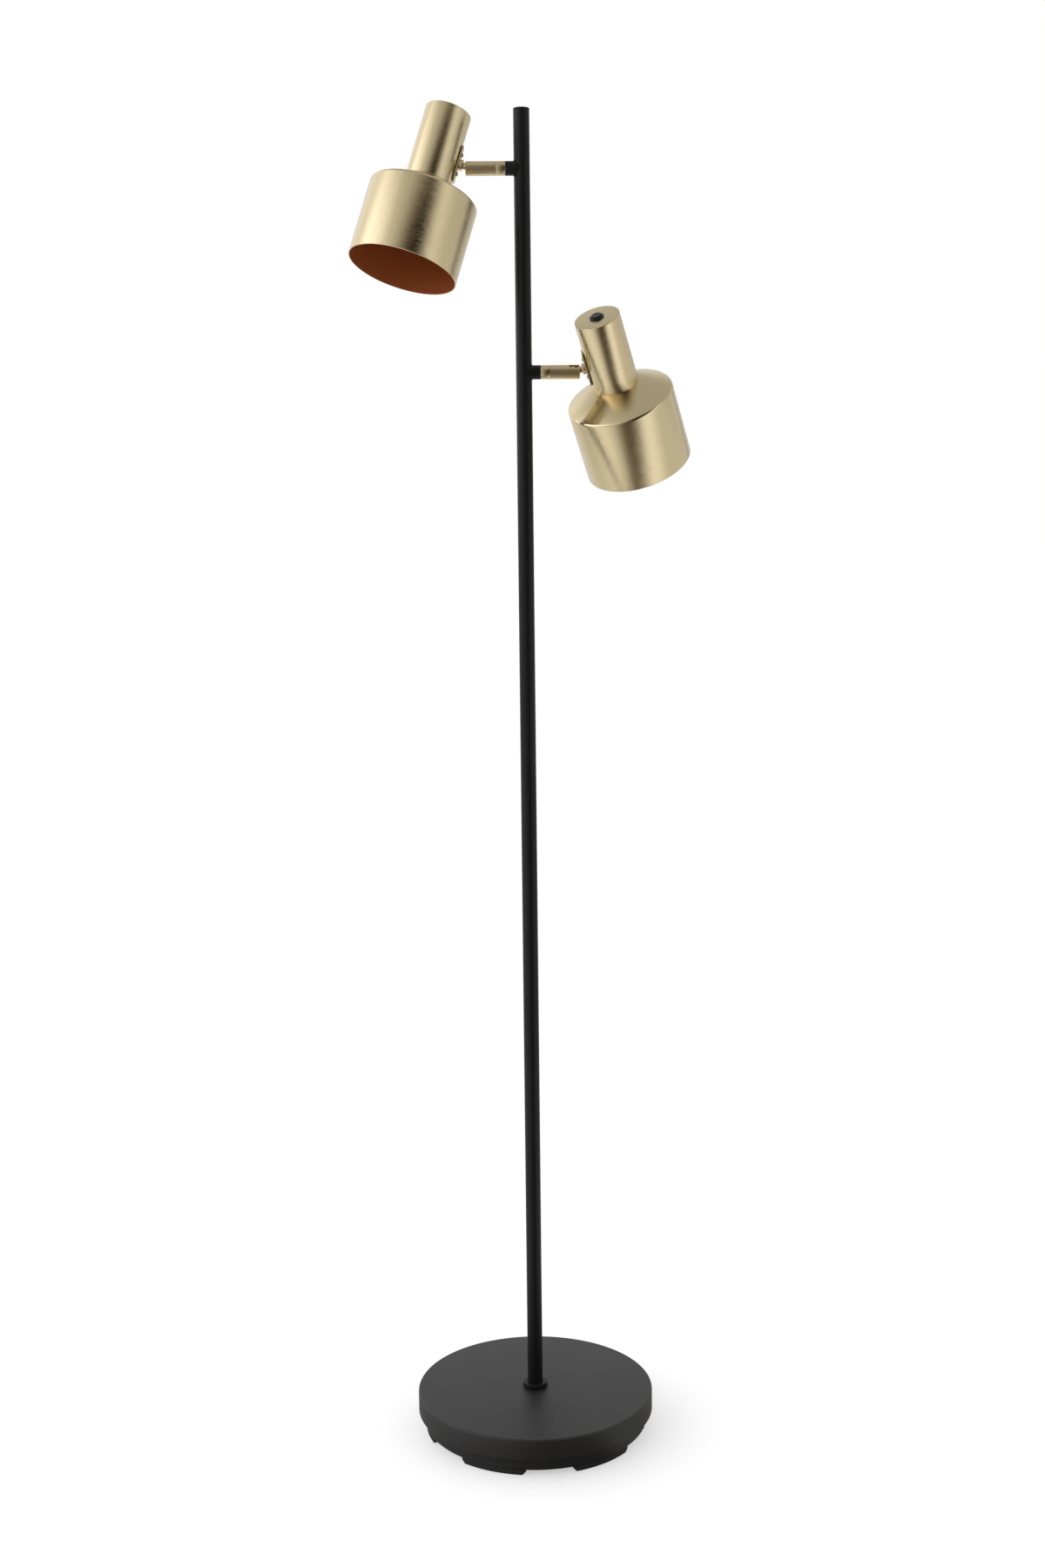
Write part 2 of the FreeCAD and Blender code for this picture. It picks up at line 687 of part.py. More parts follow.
def shade():
    """Spun shade: a spigot inside the neck, a flange, a cone and the straight side."""
    slope = math.atan2(CONE_LENGTH, SHADE_R - NECK_R)
    drop = HEAD_WALL / math.cos(slope)
    flange_low = JOINT_Z - HEAD_WALL
    inner_r = SHADE_R - HEAD_WALL
    hole_r = HOLDER_R + SHADE_HOLE_CLEARANCE
    cone_start_r = NECK_R + (HEAD_WALL - drop) / math.tan(slope)
    inner_edge_z = SHADE_EDGE_Z - drop + HEAD_WALL * math.tan(slope)
    spigot_r = NECK_BORE_R - SPIGOT_CLEARANCE
    return on_neck_axis(turned([
        (hole_r, JOINT_Z),
        (spigot_r - HEAD_WALL, JOINT_Z),
        (spigot_r - HEAD_WALL, JOINT_Z + SPIGOT_LENGTH),
        (spigot_r, JOINT_Z + SPIGOT_LENGTH),
        (spigot_r, JOINT_Z),
        (NECK_R, JOINT_Z),
        rounded(SHADE_R, SHADE_EDGE_Z, SHADE_EDGE),
        (SHADE_R, RIM_Z),
        (inner_r, RIM_Z),
        rounded(inner_r, inner_edge_z, SHADE_EDGE - HEAD_WALL),
        (cone_start_r, flange_low),
        (hole_r, flange_low),
    ]))


def lampholder():
    """Insulating holder: screwed skirt, shoulder on the shade's flange, dome for the wires."""
    shoulder_r = NECK_BORE_R - SPIGOT_CLEARANCE - HEAD_WALL - SHADE_HOLE_CLEARANCE
    cavity_r = SOCKET_DIA / 2 + SHELL_WALL
    dome_top = SKIRT_TOP_Z + DOME_LENGTH
    return on_neck_axis(turned([
        (0, CAVITY_TOP_Z),
        (cavity_r, CAVITY_TOP_Z),
        (cavity_r, HOLDER_MOUTH_Z),
        (HOLDER_R, HOLDER_MOUTH_Z),
        (HOLDER_R, JOINT_Z),
        (shoulder_r, JOINT_Z),
        (shoulder_r, JOINT_Z + HOLDER_SHOULDER),
        (HOLDER_R, JOINT_Z + HOLDER_SHOULDER),
        (HOLDER_R, SKIRT_TOP_Z),
        (DOME_DIA / 2, SKIRT_TOP_Z),
        bevelled(DOME_DIA / 2, dome_top, DOME_EDGE),
        (0, dome_top),
    ]))


def holder_shell():
    inner = SOCKET_DIA / 2
    return on_neck_axis(bored(inner + SHELL_WALL, inner, HOLDER_MOUTH_Z, SHELL_TOP_Z))


def holder_contact():
    """Springy centre contact: a bent strip under the cavity's ceiling."""
    half = CONTACT_LENGTH / 2
    top = CAVITY_TOP_Z
    low = top - CONTACT_THICKNESS
    strip = outline([
        (-half, top),
        (half, top),
        (half, low),
        (half / 2, low),
        (-half / 4, low - CONTACT_RISE),
        (-half / 4, low - CONTACT_RISE + CONTACT_THICKNESS),
        (half / 4, low),
        (-half, low),
    ]).extrude(Vector(0, CONTACT_WIDTH, 0))
    strip.translate(Vector(0, -CONTACT_WIDTH / 2, 0))
    return on_neck_axis(strip)


def shade_ring():
    """Ring screwed on the holder, sloped at its upper edge to clear the cone."""
    top = JOINT_Z - HEAD_WALL
    outer = NECK_BORE_R + RING_LIP
    return on_neck_axis(turned([
        (HOLDER_R, top - RING_HEIGHT),
        (outer, top - RING_HEIGHT),
        (outer, top - RING_LIP),
        (NECK_BORE_R, top),
        (HOLDER_R, top),
    ]))


def switch_body():
    """Push switch under the neck's top, its bush through the hole."""
    ceiling = NECK_TOP_Z - NECK_TOP
    button_floor = NECK_TOP_Z + SWITCH_BEZEL - BUTTON_TRAVEL - 2 * BUTTON_CLEARANCE - BUTTON_EDGE
    well = BUTTON_STEM_DIA / 2 + BUTTON_CLEARANCE
    top = NECK_TOP_Z + SWITCH_BEZEL
    low = ceiling - SWITCH_BODY_LENGTH
    well_floor = ceiling - SWITCH_BODY_LENGTH / 2
    return on_neck_axis(turned([
        (0, low),
        (SWITCH_BODY_DIA / 2, low),
        (SWITCH_BODY_DIA / 2, ceiling),
        (SWITCH_BUSH_DIA / 2, ceiling),
        (SWITCH_BUSH_DIA / 2, top),
        (BUTTON_DIA / 2 + BUTTON_CLEARANCE, top),
        (BUTTON_DIA / 2 + BUTTON_CLEARANCE, button_floor),
        (well, button_floor),
        (well, well_floor),
        (0, well_floor),
    ]))


def switch_bezel():
    top = NECK_TOP_Z + SWITCH_BEZEL
    return on_neck_axis(turned([
        (SWITCH_BUSH_DIA / 2, NECK_TOP_Z),
        (SWITCH_BEZEL_DIA / 2, NECK_TOP_Z),
        bevelled(SWITCH_BEZEL_DIA / 2, top, SWITCH_BEZEL / 2),
        (SWITCH_BUSH_DIA / 2, top),
    ]))


def switch_button():
    top = NECK_TOP_Z + SWITCH_BEZEL + BUTTON_PROUD
    skirt = NECK_TOP_Z + SWITCH_BEZEL - BUTTON_EDGE - BUTTON_CLEARANCE
    stem_low = NECK_TOP_Z - NECK_TOP - SWITCH_BODY_LENGTH / 2 + BUTTON_TRAVEL + BUTTON_CLEARANCE
    return on_neck_axis(turned([
        (0, stem_low),
        (BUTTON_STEM_DIA / 2, stem_low),
        (BUTTON_STEM_DIA / 2, skirt),
        (BUTTON_DIA / 2, skirt),
        bevelled(BUTTON_DIA / 2, top, BUTTON_EDGE),
        (0, top),
    ]))


# ---------------------------------------------------------------- assembly
STAND = [base_cover, base_tray, base_weight, foot_pads, cord_gland, base_rod, base_washer, base_nut,
         pole_lower, pole_upper, pole_foot_plug, pole_seam_plug, pole_cap, pole_collar]
ON_POLE = [arm_boss, swivel_nipple]
# The collar doesn't turn with the sleeve, but its groove is centred on the lug's place at rest.
ON_ARM = [arm_collar, arm_sleeve, disc_springs, ball_cup]
HEAD = [knuckle, hub_nut, stem_nut, bracket_plate, backing_plate, plate_screws, neck_housing, shade,
        lampholder, holder_shell, holder_contact, shade_ring, switch_body, switch_bezel, switch_button]


def arm_placement(side, height):
    """Places an arm drawn along +X: side is +1 for +X and -1 for -X."""
    return Placement(Vector(0, 0, height), Rotation(Z_AXIS, 90 - 90 * side))


def save(name, shape):
    shape.exportStep(f"parts/{name}.step")
    print(f"{name:24s} {shape.Volume:12.1f} mm3  solids {len(shape.Solids)}  valid {shape.isValid()}")


def placed(shape, placement):
    shape.Placement = placement.multiply(shape.Placement)
    return shape


def main():
    os.makedirs("parts", exist_ok=True)
    for make in STAND:
        save(make.__name__, make())
    spots = (("upper", -1, UPPER_ARM_Z, SWIVEL_UPPER, TILT_UPPER),
             ("lower", 1, LOWER_ARM_Z, SWIVEL_LOWER, TILT_LOWER))
    for spot, side, height, swivel, tilt in spots:
        on_pole = arm_placement(side, height)
        on_arm = on_pole.multiply(Placement(Vector(0, 0, 0), Rotation(X_AXIS, swivel)))
        on_ball = on_arm.multiply(Placement(Vector(PIVOT, 0, 0), Rotation(Y_AXIS, -tilt)))
        for makers, where in ((ON_POLE, on_pole), (ON_ARM, on_arm), (HEAD, on_ball)):
            for make in makers:
                save(f"{spot}_{make.__name__}", placed(make(), where))


main()
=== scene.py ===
# %% [markdown]
# # A floor lamp with two spots
#
# The lamp is a black steel pole on a round weighted base, with two brass spots on short arms.
# Its construction is already made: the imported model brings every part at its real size, and the
# joints that move it. This lesson gives the lamp its looks. It starts from that model, so no
# piece is placed by eye: each one takes its sizes and its axis from the part it stands for.

import json
import math

import bmesh
import bpy
from mathutils import Matrix, Vector


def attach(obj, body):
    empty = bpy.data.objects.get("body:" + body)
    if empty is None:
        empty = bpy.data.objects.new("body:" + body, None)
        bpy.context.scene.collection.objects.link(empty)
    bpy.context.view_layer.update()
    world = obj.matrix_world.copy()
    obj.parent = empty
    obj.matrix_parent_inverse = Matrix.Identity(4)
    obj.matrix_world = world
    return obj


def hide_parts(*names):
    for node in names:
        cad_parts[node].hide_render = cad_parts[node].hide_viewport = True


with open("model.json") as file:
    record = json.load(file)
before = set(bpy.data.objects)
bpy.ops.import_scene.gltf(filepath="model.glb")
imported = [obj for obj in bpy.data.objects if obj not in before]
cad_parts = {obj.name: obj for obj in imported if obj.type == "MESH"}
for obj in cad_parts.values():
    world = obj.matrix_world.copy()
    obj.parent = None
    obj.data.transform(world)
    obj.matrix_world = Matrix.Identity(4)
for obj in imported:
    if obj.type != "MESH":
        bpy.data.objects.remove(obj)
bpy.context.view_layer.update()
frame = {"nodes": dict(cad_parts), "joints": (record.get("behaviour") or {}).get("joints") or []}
nodes = frame["nodes"]
joints = {joint["name"]: joint for joint in frame["joints"]}
MM = 0.001

# %% [markdown]
# ## The camera
#
# The photograph was taken from about chest height, two metres away, with the camera tipped
# down a little and not quite level, so the pole leans to the left in the picture. The place
# and the angles were worked out from the base's ellipse, the pole's taper and the two heads.

# %% Camera
LENS = 43.58
CAMERA_PLACE = Vector((-0.0674, -1.932, 0.9558))
CAMERA_TURN = math.radians(-1.811)
CAMERA_PITCH = math.radians(7.731)
CAMERA_ROLL = math.radians(-0.664)


def link(obj):
    bpy.context.scene.collection.objects.link(obj)
    return obj


camera = link(bpy.data.objects.new("camera", bpy.data.cameras.new("camera")))
camera.data.lens = LENS
camera.matrix_world = (
    Matrix.Translation(CAMERA_PLACE)
    @ Matrix.Rotation(CAMERA_TURN, 4, "Z")
    @ Matrix.Rotation(math.pi / 2 - CAMERA_PITCH, 4, "X")
    @ Matrix.Rotation(CAMERA_ROLL, 4, "Z")
)
bpy.context.scene.camera = camera
bpy.context.scene.view_settings.view_transform = "Standard"
print("camera at", tuple(round(value, 3) for value in camera.matrix_world.translation))

# %% [markdown]
# ## Nodes written as sums
#
# Materials, the world and Geometry Nodes are all trees of nodes. Placing each Math node by
# hand hides the sum that it stands for. So one class wraps an output socket, and Python's own
# operators on it add the Math nodes. Every other node comes from one method: its type, then
# its settings, then the value or the link of each socket.

# %% Sockets and trees
NOISE_DETAIL = 2.0


class Socket:
    """An output of a node, on which + - * / and ** add Math nodes."""

    def __init__(self, tree, socket):
        self.tree = tree
        self.socket = socket

    def maths(self, operation, *values):
        return self.tree.node("ShaderNodeMath", {"operation": operation}, dict(enumerate(values)))

    def __add__(self, other):
        return self.maths("ADD", self, other)

    def __sub__(self, other):
        return self.maths("SUBTRACT", self, other)

    def __rsub__(self, other):
        return self.maths("SUBTRACT", other, self)

    def __mul__(self, other):
        return self.maths("MULTIPLY", self, other)

    def __truediv__(self, other):
        return self.maths("DIVIDE", self, other)

    def __pow__(self, other):
        return self.maths("POWER", self, other)

    __radd__ = __add__
    __rmul__ = __mul__

    def of(self, name):
        """Another output of the same node."""
        return Socket(self.tree, named(self.socket.node.outputs, name))


def named(sockets, name):
    """The socket in use that has this name, or this number in the list."""
    if isinstance(name, int):
        return sockets[name]
    return next(socket for socket in sockets if socket.name == name and socket.enabled)


class Tree:
    """A node tree that is being written."""

    def __init__(self, tree):
        self.tree = tree
        tree.nodes.clear()

    def node(self, kind, settings=None, sockets=None, output=0):
        """Adds a node: its settings, then its sockets. Gives back one of its outputs."""
        node = self.tree.nodes.new(kind)
        for name, value in (settings or {}).items():
            setattr(node, name, value)
        for name, value in (sockets or {}).items():
            if isinstance(value, Socket):
                self.tree.links.new(value.socket, named(node.inputs, name))
            else:
                named(node.inputs, name).default_value = value
        return Socket(self, named(node.outputs, output)) if node.outputs else None

    def vector(self, x, y, z):
        return self.node("ShaderNodeCombineXYZ", {}, {"X": x, "Y": y, "Z": z})

    def mixed(self, factor, first, second):
        """A colour between two others."""
        return self.node("ShaderNodeMix", {"data_type": "RGBA"},
                         {"Factor": factor, "A": first, "B": second}, output="Result")

    def window(self, value, start, end):
        """Rises smoothly from 0 to 1 while the value goes from start to end."""
        return self.node("ShaderNodeMapRange", {"interpolation_type": "SMOOTHSTEP"},
                         {"Value": value, "From Min": start, "From Max": end}, output="Result")

    def noise(self, vector, scale):
        return self.node("ShaderNodeTexNoise", {},
                         {"Vector": vector, "Scale": scale, "Detail": NOISE_DETAIL}, output="Fac")


def rgba(red, green, blue):
    return (red, green, blue, 1.0)


print("socket maths is ready")

# %% [markdown]
# ## The studio
#
# Polished and brushed metal shows little of its own colour: it shows the room. The photograph
# was lit by tall soft boxes on both sides and by a white backdrop, and the side of the room
# where the camera stood was dark. That dark gap is the brown stripe down each shade. Area
# lamps could stand there, but they would get in the way of a camera that walks round the
# object, so the world itself is the studio: a soft pattern of light by compass direction. The
# camera sees plain white behind the lamp, and all other rays see that pattern.

# %% Soft boxes by direction
# azimuth from the camera towards the right, half its width, softness of its edge,
# strength on the wall, strength of its painted image on the floor
SOFT_BOXES = (
    ("backdrop", 180.0, 30.0, 30.0, 0.75, 0.80),
    ("left", -75.0, 45.0, 45.0, 0.90, 0.80),
    ("left core", -80.0, 20.0, 20.0, 0.70, 0.10),
    ("left rear", -120.0, 30.0, 30.0, 0.30, 0.0),
    ("right core", 55.0, 15.0, 5.0, 0.30, 0.40),
    ("right", 90.0, 45.0, 5.0, 0.60, 0.70),
)
WALL, FLOOR = 4, 5
ROOM_LEVEL = 0.02
CEILING_LEVEL = 0.5
CEILING_START = 0.5
CEILING_END = 0.9
ROOM_TINT = rgba(1.2, 1.0, 0.8)
PLAIN_TINT = rgba(1.0, 1.0, 1.0)
BRIGHT_TINT = rgba(1.0, 1.0, 1.1)
DIM_LEVEL = 0.5
PLAIN_LEVEL = 0.75
BRIGHT_LEVEL = 1.5


def studio(tree, direction, column):
    """How bright the room is in a direction: its walls, or their painted image on the floor."""
    part = tree.node("ShaderNodeSeparateXYZ", {}, {"Vector": direction})
    x, y = part.of("X"), part.of("Y")
    reach = (x * x + y * y) ** 0.5
    level = None
    for box in SOFT_BOXES:
        azimuth, half, soft = box[1:4]
        angle = math.radians(azimuth)
        facing = (x * math.sin(angle) - y * math.cos(angle)) / reach
        edge = math.cos(math.radians(half + soft))
        full = math.cos(math.radians(max(half - soft, 0.0)))
        light = tree.window(facing, edge, full) * box[column]
        level = light + (ROOM_LEVEL if level is None else level)
    return level


def tint_of(tree, level):
    """Dim corners are warm, and the strongest light is a little cool."""
    warm = tree.mixed(tree.window(level, ROOM_LEVEL, DIM_LEVEL), ROOM_TINT, PLAIN_TINT)
    return tree.mixed(tree.window(level, PLAIN_LEVEL, BRIGHT_LEVEL), warm, BRIGHT_TINT)


print("soft boxes:", [box[0] for box in SOFT_BOXES])

# %% World
world = bpy.data.worlds.new("studio")
world.use_nodes = True
bpy.context.scene.world = world
sky = Tree(world.node_tree)
direction = sky.node("ShaderNodeTexCoord", output="Generated")
overhead = sky.window(sky.node("ShaderNodeSeparateXYZ", {}, {"Vector": direction}).of("Z"),
                      CEILING_START, CEILING_END)
room = studio(sky, direction, WALL) * (1 - overhead) + overhead * CEILING_LEVEL
seen = sky.node("ShaderNodeLightPath", output="Is Camera Ray")
background = sky.node("ShaderNodeBackground", {}, {
    "Color": sky.mixed(seen, tint_of(sky, room), PLAIN_TINT),
    "Strength": room * (1 - seen) + seen,
})
sky.node("ShaderNodeOutputWorld", {}, {"Surface": background})
print("ceiling level:", CEILING_LEVEL)

# %% [markdown]
# ## The floor
#
# The photograph has a pure white ground. The floor is a pale disc that is lit like the lamp,
# and for the camera it also glows a little, so that it reaches white where nothing shades it
# and keeps the soft shadow round the feet. For glossy rays the floor glows with a painted
# image instead: a painted reflection of the soft boxes, a painted pool of light round the lamp,
# and painted shade close to the base.

# %% Floor
FLOOR_RADIUS = 60.0
FLOOR_COLOUR = 0.80
FLOOR_GLOW = 0.52
# sizes of the painted pool of light round the lamp and of the painted shade near the base
PAINTED_POOL_LEVEL = 0.1
PAINTED_POOL_EDGE = 2.0
PAINTED_POOL_FULL = 0.5
PAINTED_SHADE_LEVEL = 0.35
PAINTED_SHADE_FULL = 0.15
PAINTED_SHADE_EDGE = 0.4

shape = bmesh.new()
bmesh.ops.create_circle(shape, cap_ends=True, segments=64, radius=FLOOR_RADIUS)
floor_mesh = bpy.data.meshes.new("floor")
shape.to_mesh(floor_mesh)
shape.free()
floor = link(bpy.data.objects.new("floor", floor_mesh))

floor_finish = bpy.data.materials.new("pale floor")
floor_finish.use_nodes = True
ground = Tree(floor_finish.node_tree)
path = ground.node("ShaderNodeLightPath", output="Is Camera Ray")
matt = ground.node("ShaderNodeBsdfDiffuse", {}, {"Color": rgba(*[FLOOR_COLOUR] * 3)})
glow = ground.node("ShaderNodeEmission", {}, {"Strength": path * FLOOR_GLOW})
lit = ground.node("ShaderNodeAddShader", {}, {0: matt, 1: glow})
place = ground.node("ShaderNodeTexCoord", output="Object")
from_pole = ground.node("ShaderNodeVectorMath", {"operation": "LENGTH"}, {0: place},
                        output="Value")
# a painted pool of light round the lamp, seen only by glossy rays
painted_pool = ground.window(from_pole, PAINTED_POOL_EDGE, PAINTED_POOL_FULL)
# painted shade: the floor's glossy glow is darker close to the base
painted_shade_factor = ground.window(from_pole, PAINTED_SHADE_FULL, PAINTED_SHADE_EDGE)
painted_shade_factor = painted_shade_factor * (1 - PAINTED_SHADE_LEVEL) + PAINTED_SHADE_LEVEL
level = (studio(ground, place, FLOOR) + painted_pool * PAINTED_POOL_LEVEL) * painted_shade_factor
# what glossy rays see on the floor is a painted glow: the soft boxes' image, the pool and the shade
painted_floor_image = ground.node("ShaderNodeEmission", {},
                       {"Color": tint_of(ground, level), "Strength": level})
surface = ground.node("ShaderNodeMixShader", {},
                      {0: path.of("Is Glossy Ray"), 1: lit, 2: painted_floor_image})
ground.node("ShaderNodeOutputMaterial", {}, {"Surface": surface})
floor_mesh.materials.append(floor_finish)
print("floor radius", FLOOR_RADIUS)

# %% [markdown]
# ## Where a pattern sits
#
# A brushed line must follow the piece it is on. Each piece therefore carries an attribute
# called "grain": the place of every point measured from the piece's own axis. Spun pieces
# have it along their turning axis, so that the same material fits a neck, a cone and a collar.

# %% Grain
GRAIN = "grain"


def grain_of(tree):
    """The point's place in the piece's own frame, with the turning axis as Z."""
    return tree.node("ShaderNodeAttribute", {"attribute_name": GRAIN}, output="Vector")


def round_lines(tree, across, around):
    """Lines that run round the axis: this many across a metre, this many kinds in a turn."""
    part = tree.node("ShaderNodeSeparateXYZ", {}, {"Vector": grain_of(tree)})
    x, y = part.of("X"), part.of("Y")
    radius = (x * x + y * y) ** 0.5
    along = part.of("Z") + radius
    return tree.noise(tree.vector(x / radius * around, y / radius * around, along * across), 1.0)


def straight_lines(tree, across, along):
    """Lines that run along Z."""
    part = tree.node("ShaderNodeSeparateXYZ", {}, {"Vector": grain_of(tree)})
    line = tree.vector(part.of("X") * across, part.of("Y") * across, part.of("Z") * along)
    return tree.noise(line, 1.0)


def new_finish(name):
    material = bpy.data.materials.new(name)
    material.use_nodes = True
    return material, Tree(material.node_tree)


def close_finish(tree, sockets):
    shader = tree.node("ShaderNodeBsdfPrincipled", {}, sockets)
    tree.node("ShaderNodeOutputMaterial", {}, {"Surface": shader})


def bumped(tree, height, depth):
    """A normal from a height between 0 and 1, this many metres deep."""
    return tree.node("ShaderNodeBump", {},
                     {"Height": height, "Distance": depth, "Strength": 1.0}, output="Normal")


print("grain attribute:", GRAIN)

# %% [markdown]
# ## Brushed brass
#
# The heads and arms are brass, brushed while they turned on the lathe and then lacquered. The
# brushing leaves lines round the axis. Two sets of lines, one fine and one broad, change the
# colour and the gloss a little, and the fine ones also lift the surface by a few hundredths of
# a millimetre. The bracket plates are brushed straight, before they are pressed.

# %% Brass
BRASS = rgba(0.735, 0.615, 0.380)
BRASS_DEEP = rgba(0.685, 0.565, 0.335)
KNUCKLE_BRASS = rgba(0.74, 0.60, 0.39)
KNUCKLE_DEEP = rgba(0.62, 0.47, 0.29)
SPUN_ROUGHNESS = 0.17
TURNED_ROUGHNESS = 0.30
PRESSED_ROUGHNESS = 0.26
KNUCKLE_ROUGHNESS = 0.20
FINE_LINES = 9000.0
BROAD_LINES = 420.0
TARNISH_SCALE = 34.0
LINE_DEPTH = 0.05 * MM
SMALL_LINE_DEPTH = 0.02 * MM
SMALL_SPACING = 0.5
FINE_COLOUR, BROAD_COLOUR, TARNISH_COLOUR = 0.5, 0.3, 0.2
FINE_GLOSS, BROAD_GLOSS = 0.06, 0.04
ROUND_VARIETY, STRAIGHT_VARIETY, SMALL_VARIETY = 5.0, 40.0, 1.2


def brass(name, lines, roughness, depth, colour=BRASS, deep=BRASS_DEEP):
    material, tree = new_finish(name)
    fine = lines(tree, FINE_LINES)
    broad = lines(tree, BROAD_LINES)
    tarnish = tree.noise(grain_of(tree), TARNISH_SCALE)
    mix = fine * FINE_COLOUR + broad * BROAD_COLOUR + tarnish * TARNISH_COLOUR
    glossiest = roughness - (FINE_GLOSS + BROAD_GLOSS) / 2
    close_finish(tree, {
        "Base Color": tree.mixed(mix, deep, colour),
        "Metallic": 1.0,
        "Roughness": fine * FINE_GLOSS + broad * BROAD_GLOSS + glossiest,
        "Normal": bumped(tree, fine, depth),
    })
    return material


def round_brushing(tree, across):
    return round_lines(tree, across, ROUND_VARIETY)


def straight_brushing(tree, across):
    return straight_lines(tree, across, STRAIGHT_VARIETY)


def small_brushing(tree, across):
    return round_lines(tree, across * SMALL_SPACING, SMALL_VARIETY)


spun_brass = brass("spun brass", round_brushing, SPUN_ROUGHNESS, LINE_DEPTH)
turned_brass = brass("turned brass", small_brushing, TURNED_ROUGHNESS, SMALL_LINE_DEPTH / 2)
pressed_brass = brass("pressed brass", straight_brushing, PRESSED_ROUGHNESS, SMALL_LINE_DEPTH)
knuckle_brass = brass("knuckle brass", small_brushing, KNUCKLE_ROUGHNESS, SMALL_LINE_DEPTH,
                      KNUCKLE_BRASS, KNUCKLE_DEEP)
print("brass finishes:", [spun_brass.name, turned_brass.name, pressed_brass.name,
                          knuckle_brass.name])

# %% [markdown]
# ## Black paint
#
# Base, pole and bosses are powder coated in satin black. Powder flows out into a skin with a
# very shallow orange peel, so the highlights on it are soft and slightly uneven.

# %% Paint
CLOUD_SCALE = 22.0
LIGHTER = 1.35
CLOUD_COLOUR, SKIN_COLOUR = 0.6, 0.4
CLOUD_GLOSS, SKIN_GLOSS = 0.08, 0.06
PLAIN_SPECULAR = 0.35
SMOOTH_SKIN = 0.01 * MM
SKIN = 0.02 * MM
RUBBER_SKIN = 0.04 * MM
CAST_SKIN = 0.2 * MM


def painted(name, colour, roughness, peel, depth, specular=PLAIN_SPECULAR):
    """Paint or a moulding. Its skin has this many waves to a metre, this many metres deep."""
    material, tree = new_finish(name)
    place = tree.node("ShaderNodeTexCoord", output="Object")
    skin = tree.noise(place, peel)
    cloud = tree.noise(place, CLOUD_SCALE)
    lighter = rgba(*[value * LIGHTER for value in colour])
    glossiest = roughness - (CLOUD_GLOSS + SKIN_GLOSS) / 2
    close_finish(tree, {
        "Base Color": tree.mixed(cloud * CLOUD_COLOUR + skin * SKIN_COLOUR, rgba(*colour), lighter),
        "Roughness": cloud * CLOUD_GLOSS + skin * SKIN_GLOSS + glossiest,
        "Specular IOR Level": specular,
        "Normal": bumped(tree, skin, depth),
    })
    return material


# One satin black in two copies: the base cover's is painted lighter and the pole's is painted
# darker and less glossy. These are painted light and painted shade on a single powder coat.
satin_black = painted("satin black powder coat", (0.0165, 0.0160, 0.0148), 0.48, 1100.0, SKIN,
                      specular=0.52)
shaded_pole_black = painted("pole black", (0.0085, 0.0085, 0.0082), 0.40, 1100.0, SKIN, specular=0.19)
tray_black = painted("moulded black tray", (0.020, 0.020, 0.020), 0.52, 2600.0, SKIN)
switch_black = painted("switch black", (0.012, 0.012, 0.013), 0.30, 2400.0, SMOOTH_SKIN)
button_black = painted("button black", (0.035, 0.035, 0.037), 0.36, 2400.0, SMOOTH_SKIN)
rubber = painted("foot rubber", (0.022, 0.022, 0.021), 0.72, 1800.0, RUBBER_SKIN)
bakelite = painted("holder black", (0.030, 0.029, 0.028), 0.45, 1500.0, SKIN)
cast_iron = painted("cast weight", (0.085, 0.083, 0.080), 0.70, 420.0, CAST_SKIN)
nylon = painted("natural nylon", (0.62, 0.61, 0.56), 0.45, 900.0, SKIN)
copper_lacquer = painted("copper lacquer", (0.32, 0.082, 0.021), 0.36, 900.0, SMOOTH_SKIN)
print("painted and moulded finishes made")

# %% [markdown]
# ## Zinc
#
# Nuts, washers and the hollow rod are zinc plated. Plating is bright, faintly blue, and
# cloudy where it grew thicker.

# %% Zinc
ZINC = rgba(0.60, 0.61, 0.62)
ZINC_CLOUD = rgba(0.47, 0.48, 0.48)
PLATING_CLOUD_SCALE = 260.0
GRIT_SCALE = 2200.0
PLATING_CLOUD_GLOSS, GRIT_GLOSS = 0.12, 0.08
GRIT_DEPTH = 0.008 * MM


def plated(name, light, dark, roughness):
    material, tree = new_finish(name)
    place = tree.node("ShaderNodeTexCoord", output="Object")
    cloud = tree.noise(place, PLATING_CLOUD_SCALE)
    grit = tree.noise(place, GRIT_SCALE)
    glossiest = roughness - (PLATING_CLOUD_GLOSS + GRIT_GLOSS) / 2
    close_finish(tree, {
        "Base Color": tree.mixed(cloud, dark, light),
        "Metallic": 1.0,
        "Roughness": cloud * PLATING_CLOUD_GLOSS + grit * GRIT_GLOSS + glossiest,
        "Normal": bumped(tree, grit, GRIT_DEPTH),
    })
    return material


zinc = plated("zinc plating", ZINC, ZINC_CLOUD, 0.32)
spring_steel = plated("spring steel", rgba(0.46, 0.46, 0.47), rgba(0.36, 0.36, 0.37), 0.28)
contact_brass = plated("contact brass", rgba(0.66, 0.54, 0.30), rgba(0.55, 0.43, 0.22), 0.25)
print("plated finishes made")

# %% [markdown]
# ## Frames of the moving parts
#
# A head hangs turned and tilted. Its own frame is read from its joints: the push switch
# travels along the neck, the tilt joint lies across it, and the two give the third direction.
# Each arm has its frame along the swivel. In both, Z is the axis that pieces are turned about.

# %% Frames
def axes(origin, x, y, z):
    """The matrix that takes a piece drawn at the origin to its place."""
    turn = Matrix((x, y, z)).transposed().to_4x4()
    return Matrix.Translation(origin) @ turn


def local_points(node, place):
    """A part's points, measured in another frame."""
    back = place.inverted()
    return [back @ vertex.co for vertex in nodes[node].data.vertices]


class Measured:
    """A round part's extent in a frame whose Z is its axis."""

    def __init__(self, node, place):
        points = local_points(node, place)
        radii = [math.hypot(point.x, point.y) for point in points]
        self.outer = max(radii)
        self.inner = min(radii)
        self.low = min(point.z for point in points)
        self.high = max(point.z for point in points)


